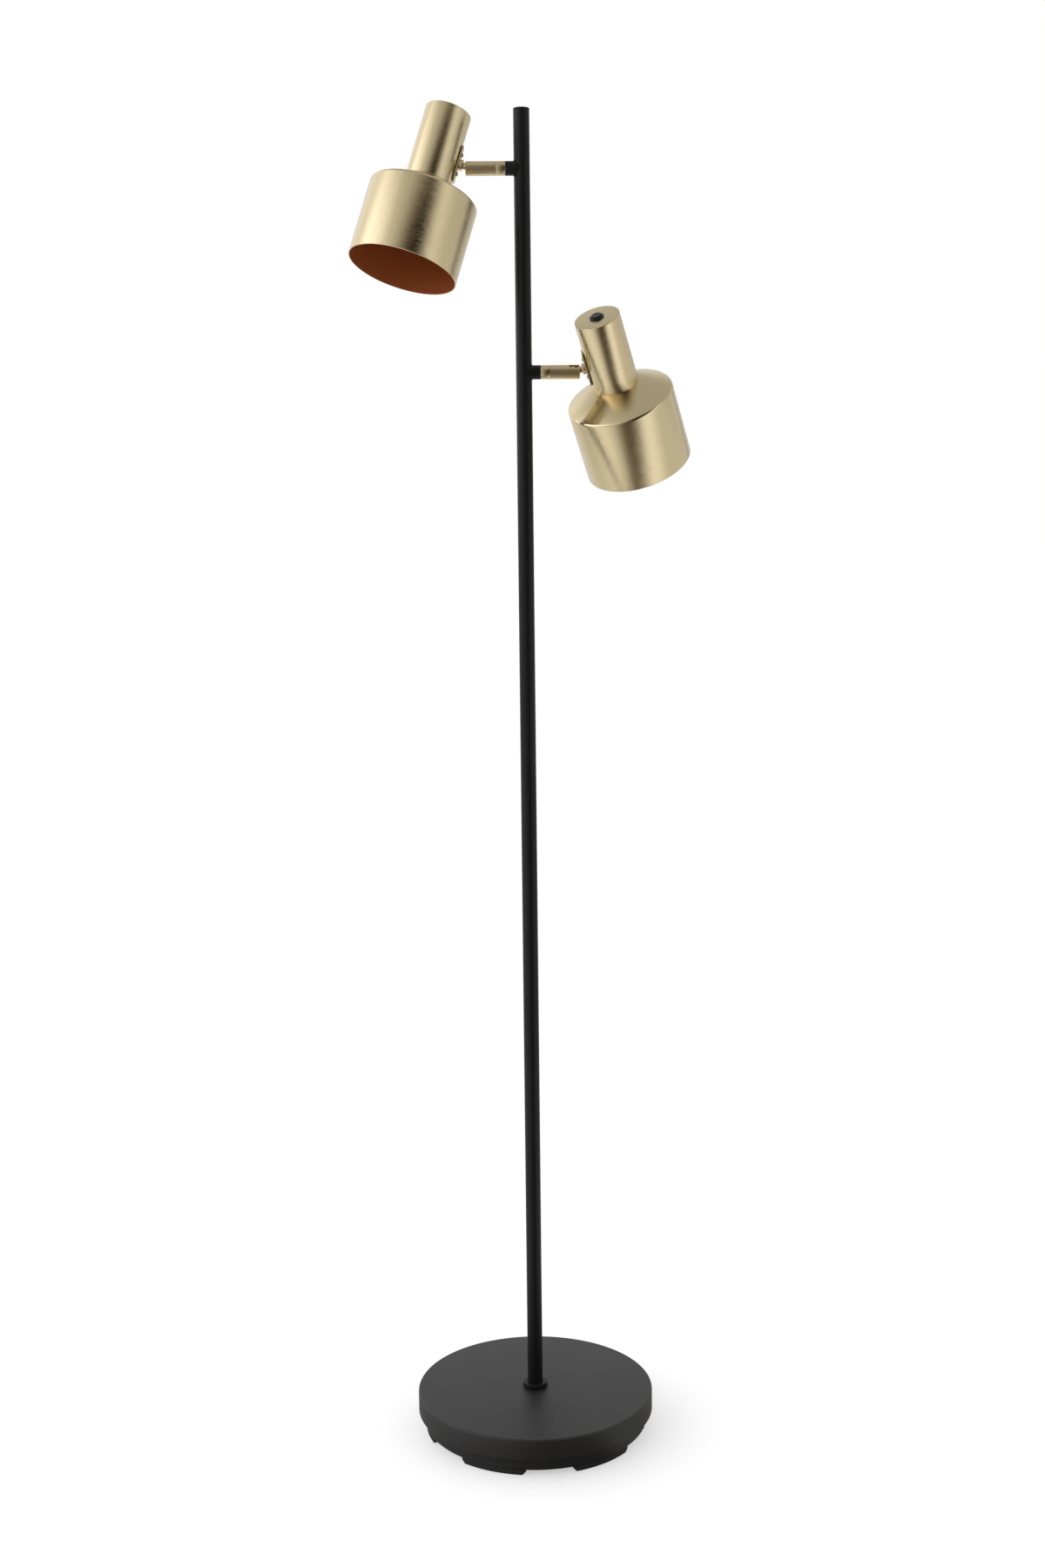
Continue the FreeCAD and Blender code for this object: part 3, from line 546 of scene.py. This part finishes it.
stand_place = Matrix.Identity(4)
arm_place = {}
head_place = {}
neck_place = {}
stem_place = {}
for spot in ("upper", "lower"):
    outward = Vector(joints[f"{spot}_swivel"]["axis"])
    pivot = Vector(joints[f"{spot}_tilt"]["pos_m"])
    across = -Vector(joints[f"{spot}_tilt"]["axis"])
    up = -Vector(joints[f"{spot}_switch_press"]["axis"])
    stem = across.cross(up)
    arm_origin = Vector((0, 0, pivot.z))
    arm_place[spot] = axes(arm_origin, outward.cross(across), -across, outward)
    head_place[spot] = axes(pivot, stem, across, up)
    points = local_points(f"{spot}_neck_housing", head_place[spot])
    neck_x = (min(point.x for point in points) + max(point.x for point in points)) / 2
    neck_place[spot] = head_place[spot] @ Matrix.Translation((neck_x, 0, 0))
    stem_place[spot] = axes(pivot, across, up, stem)
    print(spot, "neck is", round(neck_x / MM, 2), "mm from the ball's centre")

# %% [markdown]
# ## One lathe for all the turned pieces
#
# Cover, tubes, necks, shades, collars and rings are all turned: an outline goes round an axis.
# That is a rule, so Geometry Nodes do it. The tree lays out a grid with one row for each point
# of the outline and one column for each step round, then bends the grid round the axis. Points
# of the outline may also carry a screw thread or flutes, as sums of the height and the angle.

# %% The lathe tree
LATHE_INPUTS = (
    ("Geometry", "NodeSocketGeometry"),
    ("Steps round", "NodeSocketInt"),
    ("Thread pitch", "NodeSocketFloat"),
    ("Thread depth", "NodeSocketFloat"),
    ("Flutes", "NodeSocketInt"),
    ("Flute depth", "NodeSocketFloat"),
    ("Finish", "NodeSocketMaterial"),
    ("Lining", "NodeSocketMaterial"),
)
MERGE_DISTANCE = 1e-6
FULLY_LINED = 0.99


def new_shape_tree(name, inputs):
    """A Geometry Nodes tree with these named inputs and one geometry output."""
    group = bpy.data.node_groups.new(name, "GeometryNodeTree")
    for label, kind in inputs:
        group.interface.new_socket(label, in_out="INPUT", socket_type=kind)
    group.interface.new_socket("Geometry", in_out="OUTPUT", socket_type="NodeSocketGeometry")
    tree = Tree(group)
    return tree, tree.node("NodeGroupInput")


def sampled(tree, geometry, kind, value, index):
    """What a field says at one point of another geometry."""
    return tree.node("GeometryNodeSampleIndex", {"data_type": kind, "domain": "POINT"},
                     {"Geometry": geometry, "Value": value, "Index": index})


def kept(tree, geometry, kind, name, value):
    """The geometry with a named attribute on its points."""
    return tree.node("GeometryNodeStoreNamedAttribute", {"data_type": kind, "domain": "POINT"},
                     {"Geometry": geometry, "Name": name, "Value": value})


def attribute(tree, kind, name):
    return tree.node("GeometryNodeInputNamedAttribute", {"data_type": kind}, {"Name": name})


def lathe_tree():
    tree, given = new_shape_tree("lathe", LATHE_INPUTS)
    outline_shape = given.of("Geometry")
    steps = given.of("Steps round")
    rows = tree.node("GeometryNodeAttributeDomainSize", {}, {"Geometry": outline_shape})
    grid = tree.node("GeometryNodeMeshGrid", {}, {"Vertices X": steps + 1, "Vertices Y": rows})
    index = tree.node("GeometryNodeInputIndex")
    column = index.maths("FLOOR", index / rows)
    row = index.maths("MODULO", index, rows)
    position = tree.node("GeometryNodeInputPosition")
    point = sampled(tree, outline_shape, "FLOAT_VECTOR", position, row)
    worked = sampled(tree, outline_shape, "FLOAT", attribute(tree, "FLOAT", "worked"), row)
    lining = sampled(tree, outline_shape, "FLOAT", attribute(tree, "FLOAT", "lining"), row)
    part = tree.node("ShaderNodeSeparateXYZ", {}, {"Vector": point})
    radius, height = part.of("X"), part.of("Z")
    turn = column / steps
    angle = turn * math.tau
    thread = index.maths("COSINE", (height / given.of("Thread pitch") - turn) * math.tau)
    flute = index.maths("COSINE", angle * given.of("Flutes"))
    cut = thread * given.of("Thread depth") + flute * given.of("Flute depth")
    reach = radius + worked * cut
    bent = tree.vector(reach * index.maths("COSINE", angle),
                       reach * index.maths("SINE", angle), height)
    piece = kept(tree, grid, "FLOAT", "lining", lining)
    piece = tree.node("GeometryNodeSetPosition", {}, {"Geometry": piece, "Position": bent})
    piece = kept(tree, piece, "FLOAT_VECTOR", GRAIN, tree.node("GeometryNodeInputPosition"))
    piece = tree.node("GeometryNodeMergeByDistance", {},
                      {"Geometry": piece, "Distance": MERGE_DISTANCE})
    piece = tree.node("GeometryNodeSetShadeSmooth", {}, {"Geometry": piece})
    piece = tree.node("GeometryNodeRealizeInstances", {}, {"Geometry": piece})
    piece = tree.node("GeometryNodeSetMaterial", {},
                      {"Geometry": piece, "Material": given.of("Finish")})
    lined = tree.node("FunctionNodeCompare", {"data_type": "FLOAT", "operation": "GREATER_THAN"},
                      {"A": attribute(tree, "FLOAT", "lining"), "B": FULLY_LINED})
    piece = tree.node("GeometryNodeSetMaterial", {},
                      {"Geometry": piece, "Selection": lined, "Material": given.of("Lining")})
    tree.node("NodeGroupOutput", {}, {"Geometry": piece})
    return tree.tree


lathe = lathe_tree()
print("lathe inputs:", [label for label, _ in LATHE_INPUTS[1:]])

# %% [markdown]
# ## Outlines
#
# An outline is a short list of corners, each with its distance from the axis and its height.
# A third number rounds the corner. Real metal has no knife edge: even a cut end has a tiny
# round, and that round is what catches the light along a rim.

# %% Drawing an outline
ARC_STEP = math.radians(14)
SHARP_ANGLE = math.radians(38)


def round_corner(before, point, after, radius):
    """Points along the arc that rounds a corner."""
    to_before = (before - point).normalized()
    to_after = (after - point).normalized()
    half = to_before.angle(to_after) / 2
    centre = point + (to_before + to_after).normalized() * (radius / math.sin(half))
    start = point + to_before * (radius / math.tan(half)) - centre
    end = point + to_after * (radius / math.tan(half)) - centre
    sweep = math.pi - 2 * half
    count = max(2, math.ceil(sweep / ARC_STEP))
    return [centre + start.slerp(end, k / count).normalized() * radius for k in range(count + 1)]


def drawn(corners):
    """Rounds an outline's corners and closes it, unless both its ends lie on the axis."""
    spots = [Vector(corner[:2]) for corner in corners]
    closed = corners[0][0] > 0 or corners[-1][0] > 0
    points = []
    for k, corner in enumerate(corners):
        if len(corner) > 2:
            points += round_corner(spots[k - 1], spots[k], spots[(k + 1) % len(spots)], corner[2])
        else:
            points.append(spots[k])
    return points + points[:1] if closed else points


print("a round of", round(math.degrees(ARC_STEP)), "degrees a step")

# %% Turning a piece
def set_inputs(modifier, tree, values):
    """Sets a modifier's inputs by the sockets' identifiers."""
    for item in tree.interface.items_tree:
        if item.item_type == "SOCKET" and item.in_out == "INPUT" and item.name in values:
            modifier[item.identifier] = values[item.name]


def settle(obj, place):
    """Makes the modifiers' result the object's own plain mesh, and puts it in its place."""
    graph = bpy.context.evaluated_depsgraph_get()
    mesh = bpy.data.meshes.new_from_object(obj.evaluated_get(graph), preserve_all_data_layers=True,
                                           depsgraph=graph)
    obj.modifiers.clear()
    shape = bmesh.new()
    shape.from_mesh(mesh)
    bmesh.ops.remove_doubles(shape, verts=shape.verts, dist=MERGE_DISTANCE)
    bmesh.ops.recalc_face_normals(shape, faces=shape.faces)
    shape.to_mesh(mesh)
    shape.free()
    mesh.transform(place)
    mesh.set_sharp_from_angle(angle=SHARP_ANGLE)
    obj.data = mesh
    return obj


def dress(obj, body, slot, *stands_for):
    """Lets a piece ride on its body and stand for the parts it replaces."""
    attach(obj, body)
    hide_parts(*stands_for)
    print(f"{obj.name}: {len(obj.data.polygons)} faces, on {body}")
    return obj


def lathed(name, corners, finish, steps=96, lining=None, lined=None, worked=None, **work):
    """An outline with the lathe on it. lined and worked say which points they hold for."""
    points = drawn(corners)
    mesh = bpy.data.meshes.new(name)
    mesh.from_pydata([(point.x, 0, point.y) for point in points],
                     [(k, k + 1) for k in range(len(points) - 1)], [])
    for label, test in (("lining", lined), ("worked", worked)):
        values = mesh.attributes.new(label, "FLOAT", "POINT").data
        for k, point in enumerate(points):
            values[k].value = 1.0 if test and test(point) else 0.0
    obj = link(bpy.data.objects.new(name, mesh))
    modifier = obj.modifiers.new("lathe", "NODES")
    modifier.node_group = lathe
    set_inputs(modifier, lathe, {
        "Steps round": steps,
        "Thread pitch": work.get("pitch", 1.0),
        "Thread depth": work.get("thread", 0.0),
        "Flutes": work.get("flutes", 0),
        "Flute depth": work.get("flute", 0.0),
        "Finish": finish,
        "Lining": lining or finish,
    })
    return obj


def turned(name, corners, place, finish, **work):
    """A piece turned from an outline, settled in its place."""
    obj = settle(lathed(name, corners, finish, **work), place)
    for label in ("lining", "worked"):
        if label in obj.data.attributes:
            obj.data.attributes.remove(obj.data.attributes[label])
    return obj


print("the lathe is ready")

# %% [markdown]
# ## Softening a pressed or milled piece
#
# Plates, nuts and the slotted sleeves are not turned, so they keep the construction's shape.
# Straight from the model their edges are razor sharp. A copy is merged into one skin, its flat
# facets are joined, and a narrow bevel rounds the edges.

# %% Softening
FLAT_ANGLE = math.radians(0.4)
BEVEL_ANGLE = math.radians(32)


def softened(node, edge, place, finish, name=None):
    """A copy of a part with its sharp edges rounded by this width."""
    label = name or f"{node}_soft"
    mesh = nodes[node].data.copy()
    mesh.name = label
    shape = bmesh.new()
    shape.from_mesh(mesh)
    bmesh.ops.remove_doubles(shape, verts=shape.verts, dist=MERGE_DISTANCE)
    bmesh.ops.dissolve_limit(shape, angle_limit=FLAT_ANGLE, verts=shape.verts, edges=shape.edges)
    bmesh.ops.recalc_face_normals(shape, faces=shape.faces)
    shape.to_mesh(mesh)
    shape.free()
    mesh.shade_smooth()
    mesh.materials.clear()
    mesh.materials.append(finish)
    obj = link(bpy.data.objects.new(label, mesh))
    bevel = obj.modifiers.new("edge", "BEVEL")
    bevel.width = edge
    bevel.segments = 2
    bevel.limit_method = "ANGLE"
    bevel.angle_limit = BEVEL_ANGLE
    settle(obj, Matrix.Identity(4))
    back = place.inverted()
    grain = obj.data.attributes.new(GRAIN, "FLOAT_VECTOR", "POINT").data
    for vertex in obj.data.vertices:
        grain[vertex.index].vector = back @ vertex.co
    return obj


print("softening is ready")

# %% [markdown]
# ## The base
#
# A disc of steel is spun into a shallow cover, 250 mm across. It sits on a moulded tray that
# holds the weight, and six rubber pads carry it all. The cover has a small round where the
# flat top turns into the skirt, and the skirt's hem is slightly rounded too.

# %% Cover
COVER_WALL = 1.2 * MM
COVER_EDGE = 2.0 * MM
HEM_ROUND = 0.4 * MM

cover = Measured("base_cover", stand_place)
cover_piece = turned("base_cover_spun", [
    (cover.inner, cover.high),
    (cover.outer, cover.high, COVER_EDGE),
    (cover.outer, cover.low, HEM_ROUND),
    (cover.outer - COVER_WALL, cover.low, HEM_ROUND),
    (cover.outer - COVER_WALL, cover.high - COVER_WALL, COVER_EDGE - COVER_WALL),
    (cover.inner, cover.high - COVER_WALL),
], stand_place, satin_black, steps=192)
dress(cover_piece, "stand", "satin_black", "base_cover")

# %% Tray, pads and gland
for part, edge, finish, slot in (
    ("base_tray", 0.4 * MM, tray_black, "black_plastic"),
    ("foot_pads", 1.8 * MM, rubber, "rubber_feet"),
    ("cord_gland", 0.4 * MM, tray_black, "black_plastic"),
):
    dress(softened(part, edge, stand_place, finish), "stand", slot, part)

# %% [markdown]
# ## The pole
#
# Two steel tubes are screwed together, and the seam shows as a hairline half way up. It shows
# because both ends have a small chamfer, so both tubes are made with one.

# %% Tubes, cap and foot collar
TUBE_END = 0.25 * MM

lower_tube = Measured("pole_lower", stand_place)
lower_piece = turned("pole_lower_tube", [
    (lower_tube.inner, lower_tube.low),
    (lower_tube.outer, lower_tube.low, TUBE_END),
    (lower_tube.outer, lower_tube.high, TUBE_END),
    (lower_tube.inner, lower_tube.high),
], stand_place, shaded_pole_black, steps=64)
dress(lower_piece, "stand", "satin_black", "pole_lower")
dress(softened("pole_upper", TUBE_END, stand_place, shaded_pole_black), "stand", "satin_black",
      "pole_upper")

cap = Measured("pole_cap", stand_place)
CAP_FLANGE = 1.6 * MM
CAP_ROUND = 0.5 * MM
cap_piece = turned("pole_cap_turned", [
    (0, cap.low),
    (lower_tube.inner, cap.low),
    (lower_tube.inner, cap.high - CAP_FLANGE),
    (cap.outer, cap.high - CAP_FLANGE, TUBE_END),
    (cap.outer, cap.high, CAP_ROUND),
    (0, cap.high),
], stand_place, shaded_pole_black, steps=64)
dress(cap_piece, "stand", "satin_black", "pole_cap")

collar = Measured("pole_collar", stand_place)
COLLAR_EDGE = 1.0 * MM
collar_piece = turned("pole_collar_turned", [
    (collar.inner, collar.low),
    (collar.outer, collar.low, TUBE_END),
    (collar.outer, collar.high, COLLAR_EDGE),
    (collar.inner, collar.high, TUBE_END),
], stand_place, shaded_pole_black, steps=96)
dress(collar_piece, "stand", "satin_black", "pole_collar")

# %% [markdown]
# ## The shades and necks
#
# The shade is the lamp's main form: spun from one disc into a collar, a flat flange, a cone and
# a straight side. Outside it is brushed brass, inside a warm copper lacquer. The neck is a
# plain cup that stands on it, with crisp edges.

# %% Neck and shade outlines
HEAD_WALL = 1.0 * MM
NECK_TOP = 1.2 * MM
NECK_EDGE = 0.5 * MM
SHADE_EDGE = 3.0 * MM
CONE_LENGTH = 15.4 * MM
RIM_ROUND = 0.45 * MM
SPIGOT_PLAY = 0.05 * MM


def neck_outline(neck, hole):
    inner = neck.outer - HEAD_WALL
    return [
        (hole, neck.high),
        (neck.outer, neck.high, NECK_EDGE),
        (neck.outer, neck.low, TUBE_END),
        (inner, neck.low),
        (inner, neck.high - NECK_TOP),
        (hole, neck.high - NECK_TOP),
    ]


def shade_outline(shade, neck):
    """Down the outside from the flange, round the rim, and up the inside."""
    edge = neck.low - CONE_LENGTH
    slope = math.atan2(CONE_LENGTH, shade.outer - neck.outer)
    drop = HEAD_WALL / math.cos(slope)
    inner = shade.outer - HEAD_WALL
    flange_low = neck.low - HEAD_WALL
    spigot = neck.outer - HEAD_WALL - SPIGOT_PLAY
    return [
        (shade.inner, neck.low),
        (spigot - HEAD_WALL, neck.low),
        (spigot - HEAD_WALL, shade.high),
        (spigot, shade.high),
        (spigot, neck.low),
        (neck.outer, neck.low),
        (shade.outer, edge, SHADE_EDGE),
        (shade.outer, shade.low, RIM_ROUND),
        (inner, shade.low, RIM_ROUND),
        (inner, edge - drop + HEAD_WALL * math.tan(slope), SHADE_EDGE - HEAD_WALL),
        (neck.outer + (HEAD_WALL - drop) / math.tan(slope), flange_low),
        (shade.inner, flange_low),
    ]


def outside_radius(shade, neck, height):
    """The shade's outside at a height, before its corner is rounded."""
    down_cone = (neck.low - height) / CONE_LENGTH
    return min(neck.outer + down_cone * (shade.outer - neck.outer), shade.outer)


print("neck and shade walls:", HEAD_WALL / MM, "mm")

# %% Turn the necks and shades
LINING_DEPTH = 0.8 * HEAD_WALL

for spot in ("upper", "lower"):
    place = neck_place[spot]
    neck = Measured(f"{spot}_neck_housing", place)
    shade = Measured(f"{spot}_shade", place)
    hole = Measured(f"{spot}_switch_bezel", place).inner
    neck_piece = turned(f"{spot}_neck_spun", neck_outline(neck, hole), place, spun_brass, steps=128)
    dress(neck_piece, f"{spot}_head", "brushed_brass", f"{spot}_neck_housing")

    def inside(point, shade=shade, neck=neck):
        below_flange = point.y < neck.low - HEAD_WALL / 2
        return below_flange and outside_radius(shade, neck, point.y) - point.x > LINING_DEPTH

    shade_piece = turned(f"{spot}_shade_spun", shade_outline(shade, neck), place, spun_brass,
                         steps=160, lining=copper_lacquer, lined=inside)
    dress(shade_piece, f"{spot}_head", "brushed_brass", f"{spot}_shade")

# %% [markdown]
# ## Arms and knuckles
#
# A black boss is welded to the pole, then comes a fixed brass collar and the sleeve that
# turns. The sleeve's end is slotted, so that the ball's stem can swing up into it.

# %% Arms
for spot in ("upper", "lower"):
    arm = arm_place[spot]
    head = head_place[spot]
    stem = stem_place[spot]
    for part, edge, place, finish, body, slot in (
        ("arm_boss", 0.15 * MM, arm, shaded_pole_black, "stand", "satin_black"),
        ("arm_collar", 0.35 * MM, arm, turned_brass, "stand", "brushed_brass"),
        ("arm_sleeve", 0.3 * MM, arm, turned_brass, f"{spot}_arm", "brushed_brass"),
        ("knuckle", 0.15 * MM, stem, knuckle_brass, f"{spot}_head", "brushed_brass"),
        ("hub_nut", 0.2 * MM, stem, knuckle_brass, f"{spot}_head", "brushed_brass"),
        ("bracket_plate", 0.25 * MM, head, pressed_brass, f"{spot}_head", "brushed_brass"),
    ):
        node = f"{spot}_{part}"
        dress(softened(node, edge, place, finish), body, slot, node)

# %% [markdown]
# ## The bracket's screws
#
# Two slotted pan heads hold each bracket plate. One screw is turned on the lathe, and a second
# tree cuts its slot and repeats it along a line. A fitter never stops two slots at the same
# angle, so each copy gets its own turn from a fixed seed.

# %% A row of slotted screws
ROW_INPUTS = (
    ("Geometry", "NodeSocketGeometry"),
    ("Count", "NodeSocketInt"),
    ("Spacing", "NodeSocketFloat"),
    ("Head height", "NodeSocketFloat"),
    ("Slot width", "NodeSocketFloat"),
    ("Slot depth", "NodeSocketFloat"),
    ("Seed", "NodeSocketInt"),
    ("Finish", "NodeSocketMaterial"),
)
SLOT_LENGTH = 10.0 * MM


def screw_row_tree():
    tree, given = new_shape_tree("row of slotted screws", ROW_INPUTS)
    count, spacing = given.of("Count"), given.of("Spacing")
    cutter = tree.node("GeometryNodeMeshCube", {}, {
        "Size": tree.vector(SLOT_LENGTH, given.of("Slot width"), given.of("Slot depth") * 2)})
    cutter = tree.node("GeometryNodeTransform", {}, {
        "Geometry": cutter, "Translation": tree.vector(0.0, 0.0, given.of("Head height"))})
    screw = tree.node("GeometryNodeMeshBoolean", {"operation": "DIFFERENCE", "solver": "EXACT"},
                      {"Mesh 1": given.of("Geometry"), "Mesh 2": cutter})
    line = tree.node("GeometryNodeMeshLine", {}, {
        "Count": count,
        "Start Location": tree.vector((1 - count) * spacing * 0.5, 0.0, 0.0),
        "Offset": tree.vector(spacing, 0.0, 0.0),
    })
    turn = tree.node("FunctionNodeRandomValue", {"data_type": "FLOAT"},
                     {"Min": 0.0, "Max": math.pi, "Seed": given.of("Seed")}, output="Value")
    turn = tree.node("FunctionNodeEulerToRotation", {}, {"Euler": tree.vector(0.0, 0.0, turn)})
    row = tree.node("GeometryNodeInstanceOnPoints", {},
                    {"Points": line, "Instance": screw, "Rotation": turn})
    row = tree.node("GeometryNodeRealizeInstances", {}, {"Geometry": row})
    row = tree.node("GeometryNodeSetMaterial", {},
                    {"Geometry": row, "Material": given.of("Finish")})
    tree.node("NodeGroupOutput", {}, {"Geometry": row})
    return tree.tree


screw_row = screw_row_tree()
print("screw row inputs:", [label for label, _ in ROW_INPUTS[1:]])

# %% Bracket screws
SHANK_R = 1.25 * MM
PAN_ROUND = 0.95 * MM
SCREW_SLOT = 0.55 * MM
SLOT_DEPTH = 0.7 * MM
SEAT_ROUND = 0.1 * MM
SCREW_COUNT = 2

for number, spot in enumerate(("upper", "lower")):
    heads = local_points(f"{spot}_plate_screws", stem_place[spot])
    seat = min(point.z for point in local_points(f"{spot}_bracket_plate", stem_place[spot]))
    head_r = max(point.x for point in heads)
    head_height = seat - min(point.z for point in heads)
    shank = max(point.z for point in heads) - seat
    across, up, stem = (stem_place[spot].to_3x3().col[k] for k in range(3))
    place = axes(stem_place[spot] @ Vector((0, 0, seat)), up, across, -stem)
    name = f"{spot}_bracket_screws"
    screws = lathed(name, [
        (0, -shank),
        (SHANK_R, -shank),
        (SHANK_R, 0),
        (head_r, 0, SEAT_ROUND),
        (head_r, head_height, PAN_ROUND),
        (0, head_height),
    ], knuckle_brass, steps=40)
    row = screws.modifiers.new("row", "NODES")
    row.node_group = screw_row
    set_inputs(row, screw_row, {
        "Count": SCREW_COUNT,
        "Spacing": 2 * (max(point.y for point in heads) - head_r),
        "Head height": head_height,
        "Slot width": SCREW_SLOT,
        "Slot depth": SLOT_DEPTH,
        "Seed": number,
        "Finish": knuckle_brass,
    })
    dress(settle(screws, place), f"{spot}_head", "brushed_brass", f"{spot}_plate_screws")

# %% [markdown]
# ## The holder's screw shell
#
# Anyone who looks up into a shade sees the thread that takes the lamp's cap. A thread is a sum
# of height and angle, which the lathe already knows: only the inner wall is marked as worked.

# %% Screw shells
CAP_PITCH = 3.63 * MM
CAP_THREAD = 0.32 * MM
SHELL_ROWS = 72

for spot in ("upper", "lower"):
    place = neck_place[spot]
    shell = Measured(f"{spot}_holder_shell", place)
    inner = shell.inner - CAP_THREAD
    rise = (shell.high - shell.low) / SHELL_ROWS
    wall = [(inner, shell.high - k * rise) for k in range(SHELL_ROWS + 1)]

    def threaded(point, shell=shell):
        return point.x < shell.inner

    shell_piece = turned(f"{spot}_shell_threaded", [
        (shell.outer, shell.low),
        (shell.outer, shell.high),
        *wall,
    ], place, contact_brass, steps=64, worked=threaded, pitch=CAP_PITCH, thread=CAP_THREAD)
    dress(shell_piece, f"{spot}_head", "brushed_brass", f"{spot}_holder_shell")

# %% [markdown]
# ## Holder and ring
#
# The holder is moulded, so its edges are round. The ring under it is turned by hand when the
# shade is fitted, so its rim has flutes to grip. The lathe makes them from the angle.

# %% Fluted rings
FLUTES = 40
FLUTE_DEPTH = 0.35 * MM
STEPS_A_FLUTE = 8
RING_TAPER = 1.0 * MM
RING_EDGE = 0.3 * MM
HOLDER_EDGE = 0.35 * MM

for spot in ("upper", "lower"):
    place = neck_place[spot]
    holder = softened(f"{spot}_lampholder", HOLDER_EDGE, place, bakelite)
    dress(holder, f"{spot}_head", "black_plastic", f"{spot}_lampholder")
    ring = Measured(f"{spot}_shade_ring", place)
    grip = ring.outer - FLUTE_DEPTH
    fluted = ring.high - 2 * RING_TAPER

    def gripped(point, grip=grip):
        return point.x > grip - 0.5 * RING_TAPER

    ring_piece = turned(f"{spot}_ring_fluted", [
        (ring.inner, ring.low),
        (grip, ring.low, RING_EDGE),
        (grip, fluted),
        (grip - 2 * RING_TAPER, ring.high, RING_EDGE),
        (ring.inner, ring.high),
    ], place, bakelite, steps=FLUTES * STEPS_A_FLUTE, worked=gripped, flutes=FLUTES,
        flute=FLUTE_DEPTH)
    dress(ring_piece, f"{spot}_head", "black_plastic", f"{spot}_shade_ring")

# %% [markdown]
# ## The push switch
#
# A bezel screws the switch down on the neck's flat top, and the button stands a little proud
# of it. The button is dished, so a finger finds its middle.

# %% Switch
BUTTON_DISH = 0.35 * MM
BUTTON_EDGE = 0.5 * MM
BEZEL_EDGE = 0.55 * MM
BUTTON_STEM_R = 2.5 * MM
BUTTON_GAP = 0.15 * MM
DISH_START = 0.72
DISH_FLOOR = 0.45

for spot in ("upper", "lower"):
    place = neck_place[spot]
    bezel = Measured(f"{spot}_switch_bezel", place)
    bezel_piece = turned(f"{spot}_bezel_turned", [
        (bezel.inner, bezel.low),
        (bezel.outer, bezel.low),
        (bezel.outer, bezel.high, BEZEL_EDGE),
        (bezel.inner, bezel.high),
    ], place, switch_black, steps=96)
    dress(bezel_piece, f"{spot}_head", "switch_plastic", f"{spot}_switch_bezel")
    button = Measured(f"{spot}_switch_button", place)
    skirt = bezel.high - BUTTON_EDGE - BUTTON_GAP
    button_piece = turned(f"{spot}_button_turned", [
        (0, button.low),
        (BUTTON_STEM_R, button.low),
        (BUTTON_STEM_R, skirt),
        (button.outer, skirt),
        (button.outer, button.high, BUTTON_EDGE),
        (button.outer * DISH_START, button.high, BUTTON_EDGE),
        (button.outer * DISH_FLOOR, button.high - BUTTON_DISH, BUTTON_EDGE),
        (0, button.high - BUTTON_DISH),
    ], place, button_black, steps=64)
    dress(button_piece, f"{spot}_button", "switch_plastic", f"{spot}_switch_button")

# %% [markdown]
# ## Parts that stay as they are
#
# What is hidden inside keeps the construction's own shape and only gets its finish.

# %% Finishes of the hidden parts
HIDDEN = {
    "base_weight": cast_iron,
    "base_rod": zinc,
    "base_washer": zinc,
    "base_nut": zinc,
    "pole_foot_plug": zinc,
    "pole_seam_plug": zinc,
}
for spot in ("upper", "lower"):
    HIDDEN.update({
        f"{spot}_swivel_nipple": contact_brass,
        f"{spot}_disc_springs": spring_steel,
        f"{spot}_ball_cup": nylon,
        f"{spot}_stem_nut": zinc,
        f"{spot}_backing_plate": zinc,
        f"{spot}_holder_contact": contact_brass,
        f"{spot}_switch_body": switch_black,
    })
for node, finish in HIDDEN.items():
    nodes[node].data.materials.clear()
    nodes[node].data.materials.append(finish)
left = [name for name, obj in nodes.items() if not obj.hide_render and name not in HIDDEN]
print("parts left without a finish:", left)
